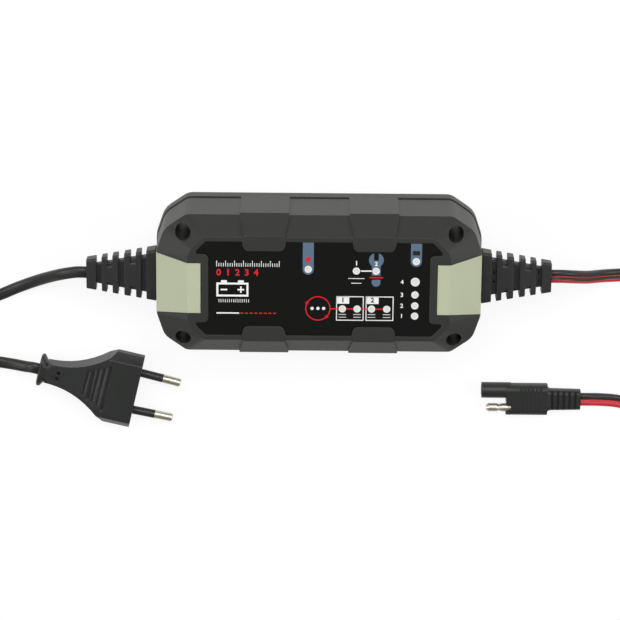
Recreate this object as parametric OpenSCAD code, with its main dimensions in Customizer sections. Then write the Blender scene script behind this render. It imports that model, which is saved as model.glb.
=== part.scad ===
// Car battery charger: a sealed two-part case lying on its back, a flat mains lead
// with a two-pin plug on its left, a twin low-voltage lead with a two-pin trailer
// connector on its right. Millimetres, +Z up, label facing +Z, origin at the
// bottom centre of the case.

/* [Case] */
// Width of the case between its end faces, at the bevel edge
case_w = 146.6; // [142:0.1:156]
// Depth of the case between its long sides, at the bevel edge
case_d = 63.6; // [62:0.1:72]
// Height of the case, back to rim
case_h = 45; // [43:0.1:52]
// Height of the edge where the walls meet the bevel
edge_z = 35.4; // [34.5:0.1:37]
// Height of the parting line between the covers
split_z = 7.5; // [7:0.1:10]
// Wall thickness of both covers
wall = 2.2; // [1.8:0.1:2.6]
// How far the walls lean out from the bevel edge to the base
draft = 1.2; // [0.8:0.1:2.2]
// How far the lower cover's rim stands proud of the wall above it
rim_proud = 0.4; // [0.2:0.1:0.8]
// Width of the bevel along the long sides
bevel_w = 7.9; // [7:0.1:9]
// Width of the bevel at the two ends
end_bevel_w = 14.3; // [12:0.1:15]
// Half of the flat part of each end face
end_flat = 14.6; // [14.2:0.1:15.4]
// Length cut off each corner along the long side
corner_run = 13.4; // [12:0.1:15]
// Size of the break in each corner, along X
shoulder_x = 3.5; // [3:0.1:4.2]
// Size of the break in each corner, along Y
shoulder_y = 6.8; // [6:0.1:7.4]
// Depth of the groove above the parting line
groove_deep = 1.2; // [0.8:0.1:1.4]
// Height of the groove above the parting line
groove_h = 1.6; // [1:0.1:2.2]

/* [Grips] */
// Distance of each grip from the middle of the case
grip_x = 24.7; // [22:0.1:27]
// Width of a grip on the wall
grip_w = 22.2; // [20:0.1:24]
// Width of a grip where it crosses the rim
grip_neck_w = 18; // [16:0.1:19]
// How far a grip stands proud
grip_proud = 0.9; // [0.5:0.1:1.4]
// Distance of a grip's tongue end from the middle of the case
tongue_y = 17.5; // [16.5:0.1:18.5]

/* [Label] */
// Half width of the label window
window_x = 49.6; // [48.5:0.1:50.4]
// Half height of the label window
window_y = 21.75; // [21:0.05:22]
// Depth of the label recess below the rim
recess_deep = 0.9; // [0.7:0.1:1.2]
// Thickness of the label panel
label_t = 0.5; // [0.4:0.1:0.6]
// Thickness of the cover's roof under the label
roof_t = 2.2; // [1.8:0.1:2.6]
// Diameter of the lights in the label
light_d = 3.6; // [3:0.1:4]
// Diameter of the full-charge light
full_light_d = 4.3; // [3.8:0.1:4.6]
// Diameter of a light guide below the label
guide_d = 2.8; // [2.2:0.1:2.9]

/* [Button] */
// Diameter of the mode button
button_d = 10.1; // [9:0.1:10.6]
// Travel of the mode button
button_travel = 0.5; // [0.3:0.05:0.6]
// Diameter of the button's flange under the roof
button_flange_d = 12.8; // [12:0.1:14]
// Diameter of the button's stem
button_stem_d = 4.4; // [3.8:0.1:5]

/* [End pads] */
// Thickness of an end pad
pad_t = 1.4; // [1:0.1:1.6]
// Half width of an end pad at its inner edge
pad_inner_y = 11.6; // [11:0.1:12.4]
// Half width of an end pad at the end face
pad_outer_y = 13.9; // [13:0.1:14]
// Width of the rim left between a pad and the label
pad_strip = 3.4; // [3:0.1:4]
// Height where a pad ends on the end face
pad_low_z = 29; // [27.5:0.1:31]

/* [Mounting] */
// Distance between the wall screw holes along X
hole_x = 122.4; // [121:0.1:124]
// Distance between the wall screw holes along Y
hole_y = 49.2; // [48:0.1:50.2]
// Diameter of a wall screw hole in the back
hole_d = 5.3; // [4.5:0.1:5.6]
// Diameter of the well above a wall screw hole
well_d = 7; // [6.4:0.1:7.4]
// Thickness of the seat under a wall screw's head
hole_seat = 3.5; // [3:0.1:4.5]

/* [Screws] */
// Distance of the outer case screws from the middle
screw_x = 44; // [42:0.1:46]
// Distance of the case screws from the middle line
screw_y = 26.4; // [26:0.1:26.8]
// Shank diameter of a case screw
screw_d = 2.8; // [2.4:0.1:3]
// Head diameter of a case screw
screw_head_d = 5.4; // [5:0.1:5.8]
// Length of a case screw below its head
screw_len = 18; // [14:0.5:22]
// Depth of a case screw's head below the back
screw_sunk = 0.8; // [0.5:0.1:1.2]
// Shank diameter of a board screw
board_screw_d = 2.2; // [2:0.1:2.6]

/* [Boards] */
// Length of the main board
board_l = 110; // [106:0.5:111]
// Width of the main board
board_w = 45; // [44:0.1:45.6]
// Thickness of both boards
board_t = 1.6; // [1.2:0.1:1.6]
// Height of the main board's underside
board_z = 7; // [6:0.1:7.2]
// Distance from the underside of the roof down to the display board's underside
display_drop = 8.5; // [8:0.1:9]

/* [Strain reliefs] */
// Height of the leads' axis above the back
lead_z = 20; // [18.5:0.1:22]
// Distance from the middle of the case to a relief's outer end
relief_end = 106; // [104:0.5:112]
// Width of a relief at the case
relief_w = 24.5; // [23:0.1:25]
// Width of a relief at its outer end
relief_end_w = 13.6; // [13:0.1:16]
// Thickness of a relief at the case
relief_t = 10; // [9:0.1:11]
// Thickness of a relief at its outer end
relief_end_t = 7.2; // [6.6:0.1:8]
// Depth of the slots between the ribs
slot_deep = 1.9; // [1.4:0.1:2.2]
// Depth of the notches in a relief's edges
notch_deep = 4.2; // [3:0.1:4.6]
// Width of the neck that passes through the end wall
neck_w = 16; // [14:0.1:18]
// Thickness of the neck that passes through the end wall
neck_t = 7.2; // [6.4:0.1:8]

/* [Mains plug] */
// Width of the plug at its face
plug_w = 35.2; // [34.5:0.1:35.6]
// Thickness of the plug
plug_t = 13.7; // [13.2:0.1:14]
// Length of the plug from its face to its collar
plug_len = 43.2; // [41:0.1:45]
// Diameter of a plug pin
pin_d = 4; // [3.9:0.02:4.1]
// Length of a plug pin
pin_len = 19; // [18.5:0.1:19.5]
// Length of the sleeve on a plug pin
sleeve_len = 10.5; // [10:0.1:11]
// Distance between the plug pins at the plug's face
pin_gap = 18.6; // [18.4:0.1:18.8]
// Distance between the plug pins at their tips
pin_tip_gap = 17.5; // [17.2:0.1:17.8]

/* [Trailer connector] */
// Outer diameter of the connector's barrel
barrel_d = 7.4; // [7:0.1:8]
// Length of the barrel in front of the connector's body
barrel_len = 11.6; // [10.6:0.1:12.6]
// Length of the connector's body
block_len = 19.2; // [17:0.1:21]
// Length of the ribbed tail behind the connector's body
tail_len = 15.5; // [14:0.1:17]
// Distance between the connector's barrel and its pin
pitch = 8.5; // [8.2:0.1:8.8]
// Diameter of the connector's pin
bullet_d = 4; // [3.8:0.1:4.1]
// Diameter of the bore that takes the other half's pin
socket_d = 4.1; // [4.02:0.02:4.2]
// Wall thickness of the socket sleeve
socket_wall = 0.4; // [0.3:0.05:0.5]

/* [Leads] */
// Width of the flat mains lead
mains_w = 5.4; // [5:0.1:6]
// Thickness of the flat mains lead
mains_t = 3.4; // [3.2:0.1:3.8]
// Width of the twin low-voltage lead
twin_w = 6.2; // [5.8:0.1:6.6]
// Thickness of the twin low-voltage lead
twin_t = 3.1; // [2.9:0.1:3.3]
// Thickness of the ties on the coils
tie_t = 0.8; // [0.6:0.1:1]

/* [Hidden] */

$fn = 40;
seat_gap = 0.1;      // between a piece and the pocket that holds it
slide_gap = 0.15;    // around the button
fit_gap = 0.05;      // around a screw's shank and a light guide
through = 1;         // how far a cut runs past a face
arc_steps = 3;       // chords in each rounded corner of an outline
label_z = case_h - recess_deep;
roof_z = label_z - roof_t;
face_z = label_z + label_t;
display_z = roof_z - display_drop;
bevel_slope = atan((case_h - edge_z) / end_bevel_w);

// ---- outlines -------------------------------------------------------------------

function unit(v) = v / norm(v);
function flat(p) = [p.x, p.y];
function side_normal(a, b) = let (d = unit(flat(b) - flat(a))) [d.y, -d.x];

// One rounded corner [x, y, radius] of a closed outline, as points on its arc
function corner_arc(before, corner, after, steps) =
    let (
        to_before = unit(flat(before) - flat(corner)),
        to_after = unit(flat(after) - flat(corner)),
        half = acos(to_before * to_after) / 2,
        centre = flat(corner) + unit(to_before + to_after) * corner[2] / sin(half),
        first = flat(corner) + to_before * corner[2] / tan(half) - centre,
        turn = sign(cross(to_after, to_before)) * (180 - 2 * half),
        start = atan2(first.y, first.x)
    )
    [for (i = [0:steps]) centre + corner[2] * [cos(start + turn * i / steps), sin(start + turn * i / steps)]];

function rounded(corners, steps = arc_steps) =
    let (n = len(corners))
    [for (i = [0:n - 1]) each corner_arc(corners[(i + n - 1) % n], corners[i], corners[(i + 1) % n], steps)];

// The same outline with every side moved out by a distance
function grown(corners, by) =
    let (n = len(corners))
    [for (i = [0:n - 1])
        let (
            a = side_normal(corners[(i + n - 1) % n], corners[i]),
            b = side_normal(corners[i], corners[(i + 1) % n]),
            shift = (a + b) * by / (1 + a * b)
        )
        [corners[i].x + shift.x, corners[i].y + shift.y, max(corners[i][2] + by, 0.3)]];

// A quarter outline repeated in all four quadrants, anticlockwise
function four_way(quarter) =
    let (n = len(quarter) - 1)
    concat(
        quarter,
        [for (i = [n:-1:0]) [-quarter[i].x, quarter[i].y, quarter[i][2]]],
        [for (i = [0:n]) [-quarter[i].x, -quarter[i].y, quarter[i][2]]],
        [for (i = [n:-1:0]) [quarter[i].x, -quarter[i].y, quarter[i][2]]]
    );

function box_corners(w, h, r) = four_way([[w / 2, h / 2, r]]);
function at_z(points, z) = [for (p = points) [p.x, p.y, z]];
function at_x(points, x) = [for (p = points) [x, p.x, p.y]];

case_corners = four_way([
    [case_w / 2, end_flat, 6],
    [case_w / 2 - shoulder_x, case_d / 2 - shoulder_y, 8],
    [case_w / 2 - corner_run, case_d / 2, 5]
]);

rim_x = case_w / 2 - end_bevel_w;
rim_y = case_d / 2 - bevel_w;
rim_corners = four_way([
    [rim_x, end_flat + 0.4, 2],
    [rim_x - 1.4, rim_y - 5.8, 3],
    [rim_x - 7.4, rim_y, 3]
]);

ear_y = window_y - 5.9;
window_corners = four_way([
    [window_x, ear_y, 2],
    [window_x + 5.6, ear_y + 0.1, 0.7],
    [window_x + 5.5, ear_y + 1.4, 0.5],
    [window_x + 1.2, window_y, 1.5]
]);

function lean(z) = draft * (edge_z - z) / edge_z;
function case_ring(z, by = 0) = at_z(rounded(grown(case_corners, lean(z) + by)), z);

// ---- general solids -------------------------------------------------------------

// A closed skin through rings that hold equally many points
module loft(rings) {
    n = len(rings[0]);
    last = len(rings) - 1;
    polyhedron(
        points = [for (ring = rings) each ring],
        faces = concat(
            [[for (i = [0:n - 1]) i]],
            [for (k = [0:last - 1], i = [0:n - 1])
                let (a = k * n + i, b = k * n + (i + 1) % n) [a, a + n, b + n]],
            [for (k = [0:last - 1], i = [0:n - 1])
                let (a = k * n + i, b = k * n + (i + 1) % n) [a, b + n, b]],
            [[for (i = [n - 1:-1:0]) last * n + i]]
        )
    );
}

module plate(corners, z0, z1, steps = arc_steps) {
    translate([0, 0, z0])
        linear_extrude(z1 - z0)
            polygon(rounded(corners, steps));
}

module ring_plate(outer, inner, z0, z1) {
    translate([0, 0, z0])
        linear_extrude(z1 - z0)
            difference() {
                polygon(rounded(outer));
                polygon(rounded(inner));
            }
}

// A profile drawn in X and Z, run along Y over a width centred on zero
module across(points, width) {
    translate([0, width / 2, 0])
        rotate([90, 0, 0])
            linear_extrude(width)
                polygon(points);
}

// A profile drawn in Y and Z, run along X from x0 to x1
module along(points, x0, x1) {
    translate([x0, 0, 0])
        rotate([90, 0, 90])
            linear_extrude(x1 - x0)
                polygon(points);
}

module block(size, at) {
    translate([at.x - size.x / 2, at.y - size.y / 2, at.z])
        cube(size);
}

module post(d, z0, z1, at = [0, 0]) {
    translate([at.x, at.y, z0])
        cylinder(d = d, h = z1 - z0);
}

module mirrored_x() {
    mirror([1, 0, 0])
        children();
}

module four_corners(dx, dy) {
    for (sx = [-1, 1], sy = [-1, 1])
        translate([sx * dx / 2, sy * dy / 2, 0])
            children();
}

// ---- leads ----------------------------------------------------------------------

// A smooth curve through hand-set points
spans = 2;
function curve_point(a, b, c, d, t) =
    0.5 * (2 * b + (c - a) * t + (2 * a - 5 * b + 4 * c - d) * t * t + (3 * b - a - 3 * c + d) * t * t * t);
function smooth(points) =
    let (n = len(points) - 1)
    concat(
        [for (i = [0:n - 1], k = [0:spans - 1])
            curve_point(
                points[max(i - 1, 0)], points[i], points[i + 1], points[min(i + 2, n)],
                k / spans
            )],
        [points[n]]
    );

function heading(path, i) =
    let (n = len(path) - 1)
    unit(path[min(i + 1, n)] - path[max(i - 1, 0)]);

// One ring of a lead's oval section, flat side down
function lead_ring(at, way, w, t, sides) =
    let (
        across_way = unit(cross([0, 0, 1], way)),
        up_way = cross(way, across_way)
    )
    [for (i = [0:sides - 1])
        let (angle = 360 * (i + 0.5) / sides)
        at + across_way * cos(angle) * w / 2 + up_way * sin(angle) * t / 2];

// The tube's first and last rings stand square to the route's ends
module lead(path, route, w, t, sides = 8) {
    last = len(path) - 1;
    end = len(route) - 1;
    first_way = unit(route[1] - route[0]);
    last_way = unit(route[end] - route[end - 1]);
    loft([for (i = [0:last])
        let (way = i == 0 ? first_way : i == last ? last_way : heading(path, i))
        lead_ring(path[i], way, w, t, sides)]);
}

// A round coil in two layers: in along the lower, up in half a turn, out along the upper
// coil = [centre, start angle, turns with their sign, middle radius, pitch, layer rise, lowest axis height]
function coil_in(c) = (abs(c[2]) - 0.5) / 2;
function coil_radius(c, turn) =
    let (reach = coil_in(c))
    c[3] + c[4] * (reach / 2 - (turn < reach ? turn : turn > reach + 0.5 ? 2 * reach + 0.5 - turn : reach));
function coil_height(c, turn) =
    let (rise = (turn - coil_in(c)) / 0.5, s = min(max(rise, 0), 1))
    c[6] + c[5] * (3 - 2 * s) * s * s;
function coil_point(c, turn) =
    let (angle = c[1] + sign(c[2]) * 360 * turn, r = coil_radius(c, turn))
    [c[0].x + r * cos(angle), c[0].y + r * sin(angle), coil_height(c, turn)];
function coil_way(c, turn) =
    let (angle = c[1] + sign(c[2]) * 360 * turn)
    sign(c[2]) * [-sin(angle), cos(angle), 0];
loop_rings = 24;
function coil_path(c, lead_in) =
    let (turns = abs(c[2]), rings = round(turns * loop_rings))
    concat(
        [coil_point(c, 0) - coil_way(c, 0) * lead_in],
        [for (i = [0:rings]) coil_point(c, turns * i / rings)],
        [coil_point(c, turns) + coil_way(c, turns) * lead_in]
    );

// Least gap between turns, measured between points at least half a turn apart
function oval_gap(d, w, t) =
    let (spread = norm([norm([d.x, d.y]) / w, d.z / t]))
    norm(d) * (1 - 1 / spread);
function coil_gap(path, w, t) =
    min([for (i = [0:len(path) - 1 - loop_rings / 2], j = [i + loop_rings / 2:len(path) - 1])
        oval_gap(path[j] - path[i], w, t)]);

coil_lift = tie_t + 0.2;
mains_turns = 6.67;
twin_turns = 5.61;
mains_coil = [[-223, -32], 48, mains_turns, 32.4, 6.8, 4.5, coil_lift + mains_t / 2];
twin_coil = [[192, -36], 110, -twin_turns, 34, 7.8, 4.3, coil_lift + twin_t / 2];
mains_coil_path = coil_path(mains_coil, mains_w);
twin_coil_path = coil_path(twin_coil, twin_w);
echo("mains coil gap", coil_gap(mains_coil_path, mains_w, mains_t));
echo("twin coil gap", coil_gap(twin_coil_path, twin_w, twin_t));

plug_angle = -13;
plug_face = [-84.5, -61.3, plug_t / 2];
collar_len = 3.6;
plug_way = [cos(plug_angle), sin(plug_angle), 0];
plug_back = plug_face - plug_way * (plug_len + collar_len);
connector_nose = [76.7, -64.4, barrel_d / 2];
connector_back = connector_nose + [barrel_len + block_len + tail_len, 0, 0];

function step_out(at, way, by) = [at, at + way * by];
mains_exit = [-relief_end, 0, lead_z];
twin_exit = [relief_end, 0, lead_z];

mains_out_route = concat(
    step_out(mains_exit, [-1, 0, 0], 5),
    [[-118, -1.8, 17.5], [-125, -5, 12], [-132, -8.5, 7], [-140, -12.5, 3.2]],
    [[-148, -16.3, 1.8], [-158, -19.8, 1.8], [-169, -19.5, 1.8], [-179, -14, 2.2]],
    [coil_point(mains_coil, 0) - coil_way(mains_coil, 0) * 2 * mains_w],
    [coil_point(mains_coil, 0) - coil_way(mains_coil, 0) * mains_w]
);
mains_back_route = concat(
    [coil_point(mains_coil, mains_turns) + coil_way(mains_coil, mains_turns) * mains_w],
    [coil_point(mains_coil, mains_turns) + coil_way(mains_coil, mains_turns) * 2 * mains_w],
    [[-187, -62, 3.4], [-175, -54.6, 1.8], [-163, -49.9, 1.8], [-153, -48.8, 1.9]],
    [[-144, -49.6, 2.7], [-137, -50.2, 4.8]],
    [plug_back - plug_way * 3, plug_back]
);
twin_out_route = concat(
    step_out(twin_exit, [1, 0, 0], 5),
    [[117, -1, 17.2], [124, -2.8, 11], [131, -3.8, 5.2], [138, -4.2, 2.2]],
    [[146, -3.8, 1.6], [154, -1.8, 1.6]],
    [coil_point(twin_coil, 0) - coil_way(twin_coil, 0) * 2 * twin_w],
    [coil_point(twin_coil, 0) - coil_way(twin_coil, 0) * twin_w]
);
twin_back_route = concat(
    [coil_point(twin_coil, twin_turns) + coil_way(twin_coil, twin_turns) * twin_w],
    [coil_point(twin_coil, twin_turns) + coil_way(twin_coil, twin_turns) * 2 * twin_w],
    [[156, -69.6, 3.4], [148, -67.2, 2.6], [140, -65.6, 1.9], [132, -64.8, 2.6]],
    [connector_back + [4, 0, 0], connector_back]
);

module mains_cord_gland_run() {
    color("#262726")
        lead(smooth(mains_out_route), mains_out_route, mains_w, mains_t);
}

module mains_cord_coil() {
    color("#262726")
        lead(mains_coil_path, mains_coil_path, mains_w, mains_t, 6);
}

module mains_cord_plug_run() {
    color("#262726")
        lead(smooth(mains_back_route), mains_back_route, mains_w, mains_t);
}

module dc_lead_gland_run() {
    color("#B8343F")
        lead(smooth(twin_out_route), twin_out_route, twin_w, twin_t);
}

module dc_lead_coil() {
    color("#B8343F")
        lead(twin_coil_path, twin_coil_path, twin_w, twin_t, 6);
}

module dc_lead_connector_run() {
    color("#B8343F")
        lead(smooth(twin_back_route), twin_back_route, twin_w, twin_t);
}

// A flat strap round all the turns of a coil, at one angle
tie_w = 5;
tie_slack = 0.2;
module coil_tie(c, angle, w, t) {
    first = ((angle - c[1]) * sign(c[2]) / 360 + 2) % 1;
    radii = [for (turn = [first:1:abs(c[2])]) coil_radius(c, turn)];
    long_side = max(radii) - min(radii) + w + 2 * tie_slack;
    tall_side = c[5] + t + 2 * tie_slack;
    inner = box_corners(long_side, tall_side, 1);
    translate([c[0].x, c[0].y, 0])
        rotate([0, 0, angle])
            translate([(max(radii) + min(radii)) / 2, tie_w / 2, tie_t + tall_side / 2])
                rotate([90, 0, 0])
                    linear_extrude(tie_w)
                        difference() {
                            polygon(rounded(grown(inner, tie_t)));
                            polygon(rounded(inner));
                        }
}

module mains_cord_tie() {
    color("#1B1B1B")
        coil_tie(mains_coil, 180, mains_w, mains_t);
}

module dc_lead_tie() {
    color("#1B1B1B")
        coil_tie(twin_coil, 0, twin_w, twin_t);
}

// ---- case -----------------------------------------------------------------------

foot_chamfer = 0.8;
module base_body() {
    loft([
        at_z(rounded(grown(case_corners, lean(0) + rim_proud - foot_chamfer)), 0),
        case_ring(foot_chamfer, rim_proud),
        case_ring(split_z, rim_proud)
    ]);
}

module shell_body(low = split_z) {
    loft([
        case_ring(low),
        case_ring(edge_z),
        at_z(rounded(rim_corners), case_h)
    ]);
}

module case_hollow() {
    loft([
        case_ring(wall, -wall),
        case_ring(edge_z - wall * 0.35, -wall),
        at_z(rounded(rim_corners), roof_z)
    ]);
}

function grip_plan(by = 0) = [
    [grip_x + grip_w / 2 + by, case_d / 2 + 9, 0.3],
    [grip_x - grip_w / 2 - by, case_d / 2 + 9, 0.3],
    [grip_x - grip_w / 2 - by, case_d / 2 - 0.8, 0.5],
    [grip_x - grip_neck_w / 2 - by, rim_y - 0.4, 0.6],
    [grip_x - grip_neck_w / 2 - by - 0.8, window_y - 0.3, 0.6],
    [grip_x - grip_neck_w / 2 - by, tongue_y - by, 2.4],
    [grip_x + grip_neck_w / 2 + by, tongue_y - by, 2.4],
    [grip_x + grip_neck_w / 2 + by + 0.8, window_y - 0.3, 0.6],
    [grip_x + grip_neck_w / 2 + by, rim_y - 0.4, 0.6],
    [grip_x + grip_w / 2 + by, case_d / 2 - 0.8, 0.5]
];

tongue_proud = 0.3;
// Side view of a grip, drawn in Y and Z: it rises flush with the lower cover's rim
grip_profile = [
    [case_d / 2 + lean(split_z) - 1, split_z],
    [case_d / 2 + lean(split_z) + rim_proud, split_z],
    [case_d / 2 + grip_proud, edge_z],
    [rim_y + grip_proud * 0.6, case_h + tongue_proud],
    [tongue_y - through, case_h + tongue_proud],
    [tongue_y - through, label_z - 0.6],
    [rim_y - 1.2, label_z - 0.6],
    [case_d / 2 - 1, edge_z - 1]
];

module grip() {
    intersection() {
        along(grip_profile, grip_x - grip_w, grip_x + grip_w);
        plate(grip_plan(), -through, case_h + 2);
    }
}

module four_grips() {
    for (turn = [0, 1], flip = [0, 1])
        mirror([0, turn, 0])
            mirror([flip, 0, 0])
                children();
}

// The groove runs round the corners and between the grips, not across the ends
module seam_groove() {
    difference() {
        translate([0, 0, split_z - through])
            linear_extrude(groove_h + through)
                difference() {
                    square([case_w * 2, case_d * 2], center = true);
                    polygon(rounded(grown(case_corners, lean(split_z) - groove_deep)));
                }
        four_grips()
            translate([grip_x - grip_w / 2, case_d / 2 - through, 0])
                cube([grip_w, case_d, case_h]);
        block([case_w * 2, 2 * (end_flat + 1.5), case_h], [0, 0, 0]);
    }
}

relief_slot_w = neck_w + 2 * seat_gap;
relief_slot_top = lead_z + neck_t / 2 + seat_gap;
relief_slot_low = lead_z - neck_t / 2 - seat_gap;
module end_blocks(width, z0, z1) {
    for (side = [-1, 1])
        block([40, width, z1 - z0], [side * (case_w / 2 + 10), 0, z0]);
}

pad_x0 = window_x + pad_strip;
// The pad lies on the rim, down the end bevel and over the end face
function pad_profile(proud, deep) = [
    [pad_x0, case_h + proud],
    [rim_x + proud * tan(bevel_slope / 2), case_h + proud],
    [case_w / 2 + proud, edge_z + proud * tan(45 - bevel_slope / 2)],
    [case_w / 2 + lean(pad_low_z) + proud, pad_low_z],
    [case_w / 2 + lean(pad_low_z) - deep, pad_low_z],
    [case_w / 2 - deep, edge_z - deep * tan(45 - bevel_slope / 2)],
    [rim_x - deep * tan(bevel_slope / 2), case_h - deep],
    [pad_x0, case_h - deep]
];
function pad_plan(by) = [
    [pad_x0 - 5, -pad_inner_y - by],
    [rim_x, -pad_inner_y - by],
    [case_w / 2, -pad_outer_y - by],
    [case_w, -pad_outer_y - by],
    [case_w, pad_outer_y + by],
    [case_w / 2, pad_outer_y + by],
    [rim_x, pad_inner_y + by],
    [pad_x0 - 5, pad_inner_y + by]
];
module pad_shape(proud, deep, by) {
    intersection() {
        across(pad_profile(proud, deep), case_d);
        linear_extrude(case_h * 2)
            polygon(pad_plan(by));
    }
}

module end_pads_cut() {
    for (side = [0, 1])
        mirror([side, 0, 0])
            translate([-seat_gap, 0, 0])
                pad_shape(3, pad_t + 2 * seat_gap, seat_gap);
}

// Lights on the label: [x, y, diameter]
level_x = 43.1;
mode_at = [-0.4, -9];
lights = [
    [-4.9, 9.2, light_d],
    [16.7, 8.6, light_d],
    [25.5, 8.6, light_d],
    [43.4, 13.2, light_d],
    [level_x, 3.7, full_light_d],
    [level_x, -2.3, light_d],
    [level_x, -7.4, light_d],
    [level_x, -12.2, light_d],
    [10.6, -9.1, light_d],
    [17.2, -9.1, light_d],
    [23.7, -9.1, light_d],
    [30.5, -9.1, light_d]
];

screw_places = [[-screw_x, 1], [0, 1], [screw_x, 1], [-screw_x, -1], [0, -1], [screw_x, -1]];
module at_case_screws() {
    for (p = screw_places)
        translate([p.x, p.y * screw_y, 0])
            children();
}

display_l = 66;
display_w = 37;
display_at = [19, 0];
display_post_d = 5;
module at_display_posts() {
    for (sx = [-1, 1], sy = [-1, 1])
        translate([display_at.x + sx * (display_l / 2 - 3.2), sy * (display_w / 2 - 3.2), 0])
            children();
}

boss_d = 6.4;
well_post_d = well_d + 3.2;
module top_cover() {
    color("#3A3B37")
        difference() {
            union() {
                difference() {
                    shell_body();
                    case_hollow();
                    plate(window_corners, label_z, case_h + through);
                }
                intersection() {
                    shell_body();
                    union() {
                        four_corners(hole_x, hole_y)
                            post(well_post_d, split_z, case_h);
                        at_case_screws()
                            post(boss_d, split_z, roof_z + 0.5);
                        at_display_posts()
                            post(display_post_d, display_z + board_t, roof_z + 0.5);
                    }
                }
                four_grips()
                    grip();
            }
            four_corners(hole_x, hole_y)
                post(well_d, -through, case_h + through);
            at_case_screws()
                post(screw_d + 2 * fit_gap, -through, screw_sunk + screw_head_h + screw_len + 1);
            at_display_posts()
                post(
                    board_screw_d + 2 * fit_gap,
                    display_z, display_z + board_t + display_screw_in + fit_gap * 2
                );
            for (p = lights)
                post(guide_d + 2 * fit_gap, roof_z - through, label_z + through, p);
            post(button_d + 2 * slide_gap, roof_z - through, label_z + through, mode_at);
            end_pads_cut();
            end_blocks(relief_slot_w, split_z - through, relief_slot_top);
            seam_groove();
        }
}

gasket_in = groove_deep + 0.2;
gasket_w = 0.6;
gasket_h = 0.7;
lip_t = 1.2;
lip_h = 2.4;
screw_head_h = 2;
board_boss_x = board_l / 2 - 4.5;
board_boss_y = board_w / 2 - 4.5;
module gasket_ring(extra) {
    ring_plate(
        grown(case_corners, lean(split_z) - gasket_in + extra),
        grown(case_corners, lean(split_z) - gasket_in - gasket_w - extra),
        split_z - gasket_h - extra,
        split_z + (extra > 0 ? through : 0)
    );
}

module bottom_cover() {
    color("#343533")
        difference() {
            union() {
                difference() {
                    base_body();
                    case_hollow();
                }
                // The tongue that closes each lead's slot
                intersection() {
                    difference() {
                        shell_body(split_z - 2);
                        case_hollow();
                    }
                    end_blocks(relief_slot_w - 2 * seat_gap, split_z - 2, relief_slot_low);
                }
                difference() {
                    ring_plate(
                        grown(case_corners, lean(split_z + lip_h) - wall - seat_gap),
                        grown(case_corners, lean(split_z + lip_h) - wall - seat_gap - lip_t),
                        wall, split_z + lip_h
                    );
                    four_corners(hole_x, hole_y)
                        post(well_post_d + 2 * seat_gap, split_z, case_h);
                    at_case_screws()
                        post(boss_d + 2 * seat_gap, split_z, case_h);
                    end_blocks(relief_w + 4, split_z, case_h);
                }
                four_corners(hole_x, hole_y)
                    post(well_post_d, 1, split_z);
                at_case_screws()
                    post(boss_d, 1, split_z);
                four_corners(2 * board_boss_x, 2 * board_boss_y)
                    post(boss_d, 1, board_z);
            }
            four_corners(hole_x, hole_y) {
                post(hole_d, -through, hole_seat + through);
                post(well_d, hole_seat, split_z + through);
            }
            at_case_screws() {
                post(screw_d + 2 * fit_gap, -through, split_z + through);
                post(screw_head_d + 2 * seat_gap, -through, screw_sunk + screw_head_h);
            }
            four_corners(2 * board_boss_x, 2 * board_boss_y)
                post(
                    board_screw_d + 2 * fit_gap,
                    board_z - board_screw_in - fit_gap * 2, board_z + through
                );
            gasket_ring(0.03);
        }
}

module case_gasket() {
    color("#141414")
        gasket_ring(0);
}

module pad() {
    color("#B8BDA0")
        difference() {
            pad_shape(0.15, pad_t, 0);
            block([2 * (pad_x0 + seat_gap), case_d, case_h * 2], [0, 0, 0]);
        }
}

module end_pad_right() {
    pad();
}

module end_pad_left() {
    mirrored_x()
        pad();
}

module label_panel() {
    color("#1D1D1B")
        difference() {
            plate(grown(window_corners, -seat_gap), label_z, face_z);
            four_grips()
                plate(grip_plan(seat_gap), label_z - through, face_z + through);
            for (p = lights)
                post(p[2], label_z - through, face_z + through, p);
            post(button_d + 2 * slide_gap, label_z - through, face_z + through, mode_at);
        }
}

led_h = 1.5;
module light_guides() {
    color("#E9E9E6")
        for (p = lights) {
            post(p[2] - 2 * fit_gap, label_z, face_z, p);
            post(guide_d, display_z + board_t + led_h + 0.3, label_z, p);
        }
}

module case_screws() {
    color("#8E9196")
        at_case_screws()
            difference() {
                union() {
                    post(screw_head_d, screw_sunk, screw_sunk + screw_head_h);
                    post(screw_d, screw_sunk, screw_sunk + screw_head_h + screw_len);
                }
                for (turn = [0, 90])
                    rotate([0, 0, turn])
                        block([3, 0.8, 1.4], [0, 0, screw_sunk - 0.2]);
            }
}

// ---- button ---------------------------------------------------------------------

switch_size = [6, 6, 3.3];
plunger_d = 3.4;
plunger_out = 0.8;
switch_z = display_z + board_t;
plunger_top = switch_z + switch_size.z + plunger_out;
flange_t = 0.9;
module mode_button() {
    color("#1D1D1B") {
        post(button_d, roof_z - flange_t, face_z, mode_at);
        post(button_flange_d, roof_z - flange_t, roof_z, mode_at);
        post(button_stem_d, plunger_top, roof_z, mode_at);
    }
}

plunger_depth = 1.2;
module switch_plunger() {
    color("#101010")
        post(plunger_d, plunger_top - plunger_out - plunger_depth + button_travel, plunger_top, mode_at);
}

module mode_switch() {
    color("#7C7F82")
        difference() {
            block(switch_size, [mode_at.x, mode_at.y, switch_z]);
            post(
                plunger_d + 2 * fit_gap,
                switch_z + switch_size.z - plunger_depth - 0.1,
                switch_z + switch_size.z + through,
                mode_at
            );
        }
}

// ---- boards and what they carry -------------------------------------------------

board_top = board_z + board_t;
module main_board() {
    color("#1F5B38")
        difference() {
            plate(box_corners(board_l, board_w, 2), board_z, board_top);
            four_corners(2 * board_boss_x, 2 * board_boss_y)
                post(board_screw_d + 4 * fit_gap, board_z - through, board_top + through);
        }
}

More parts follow.
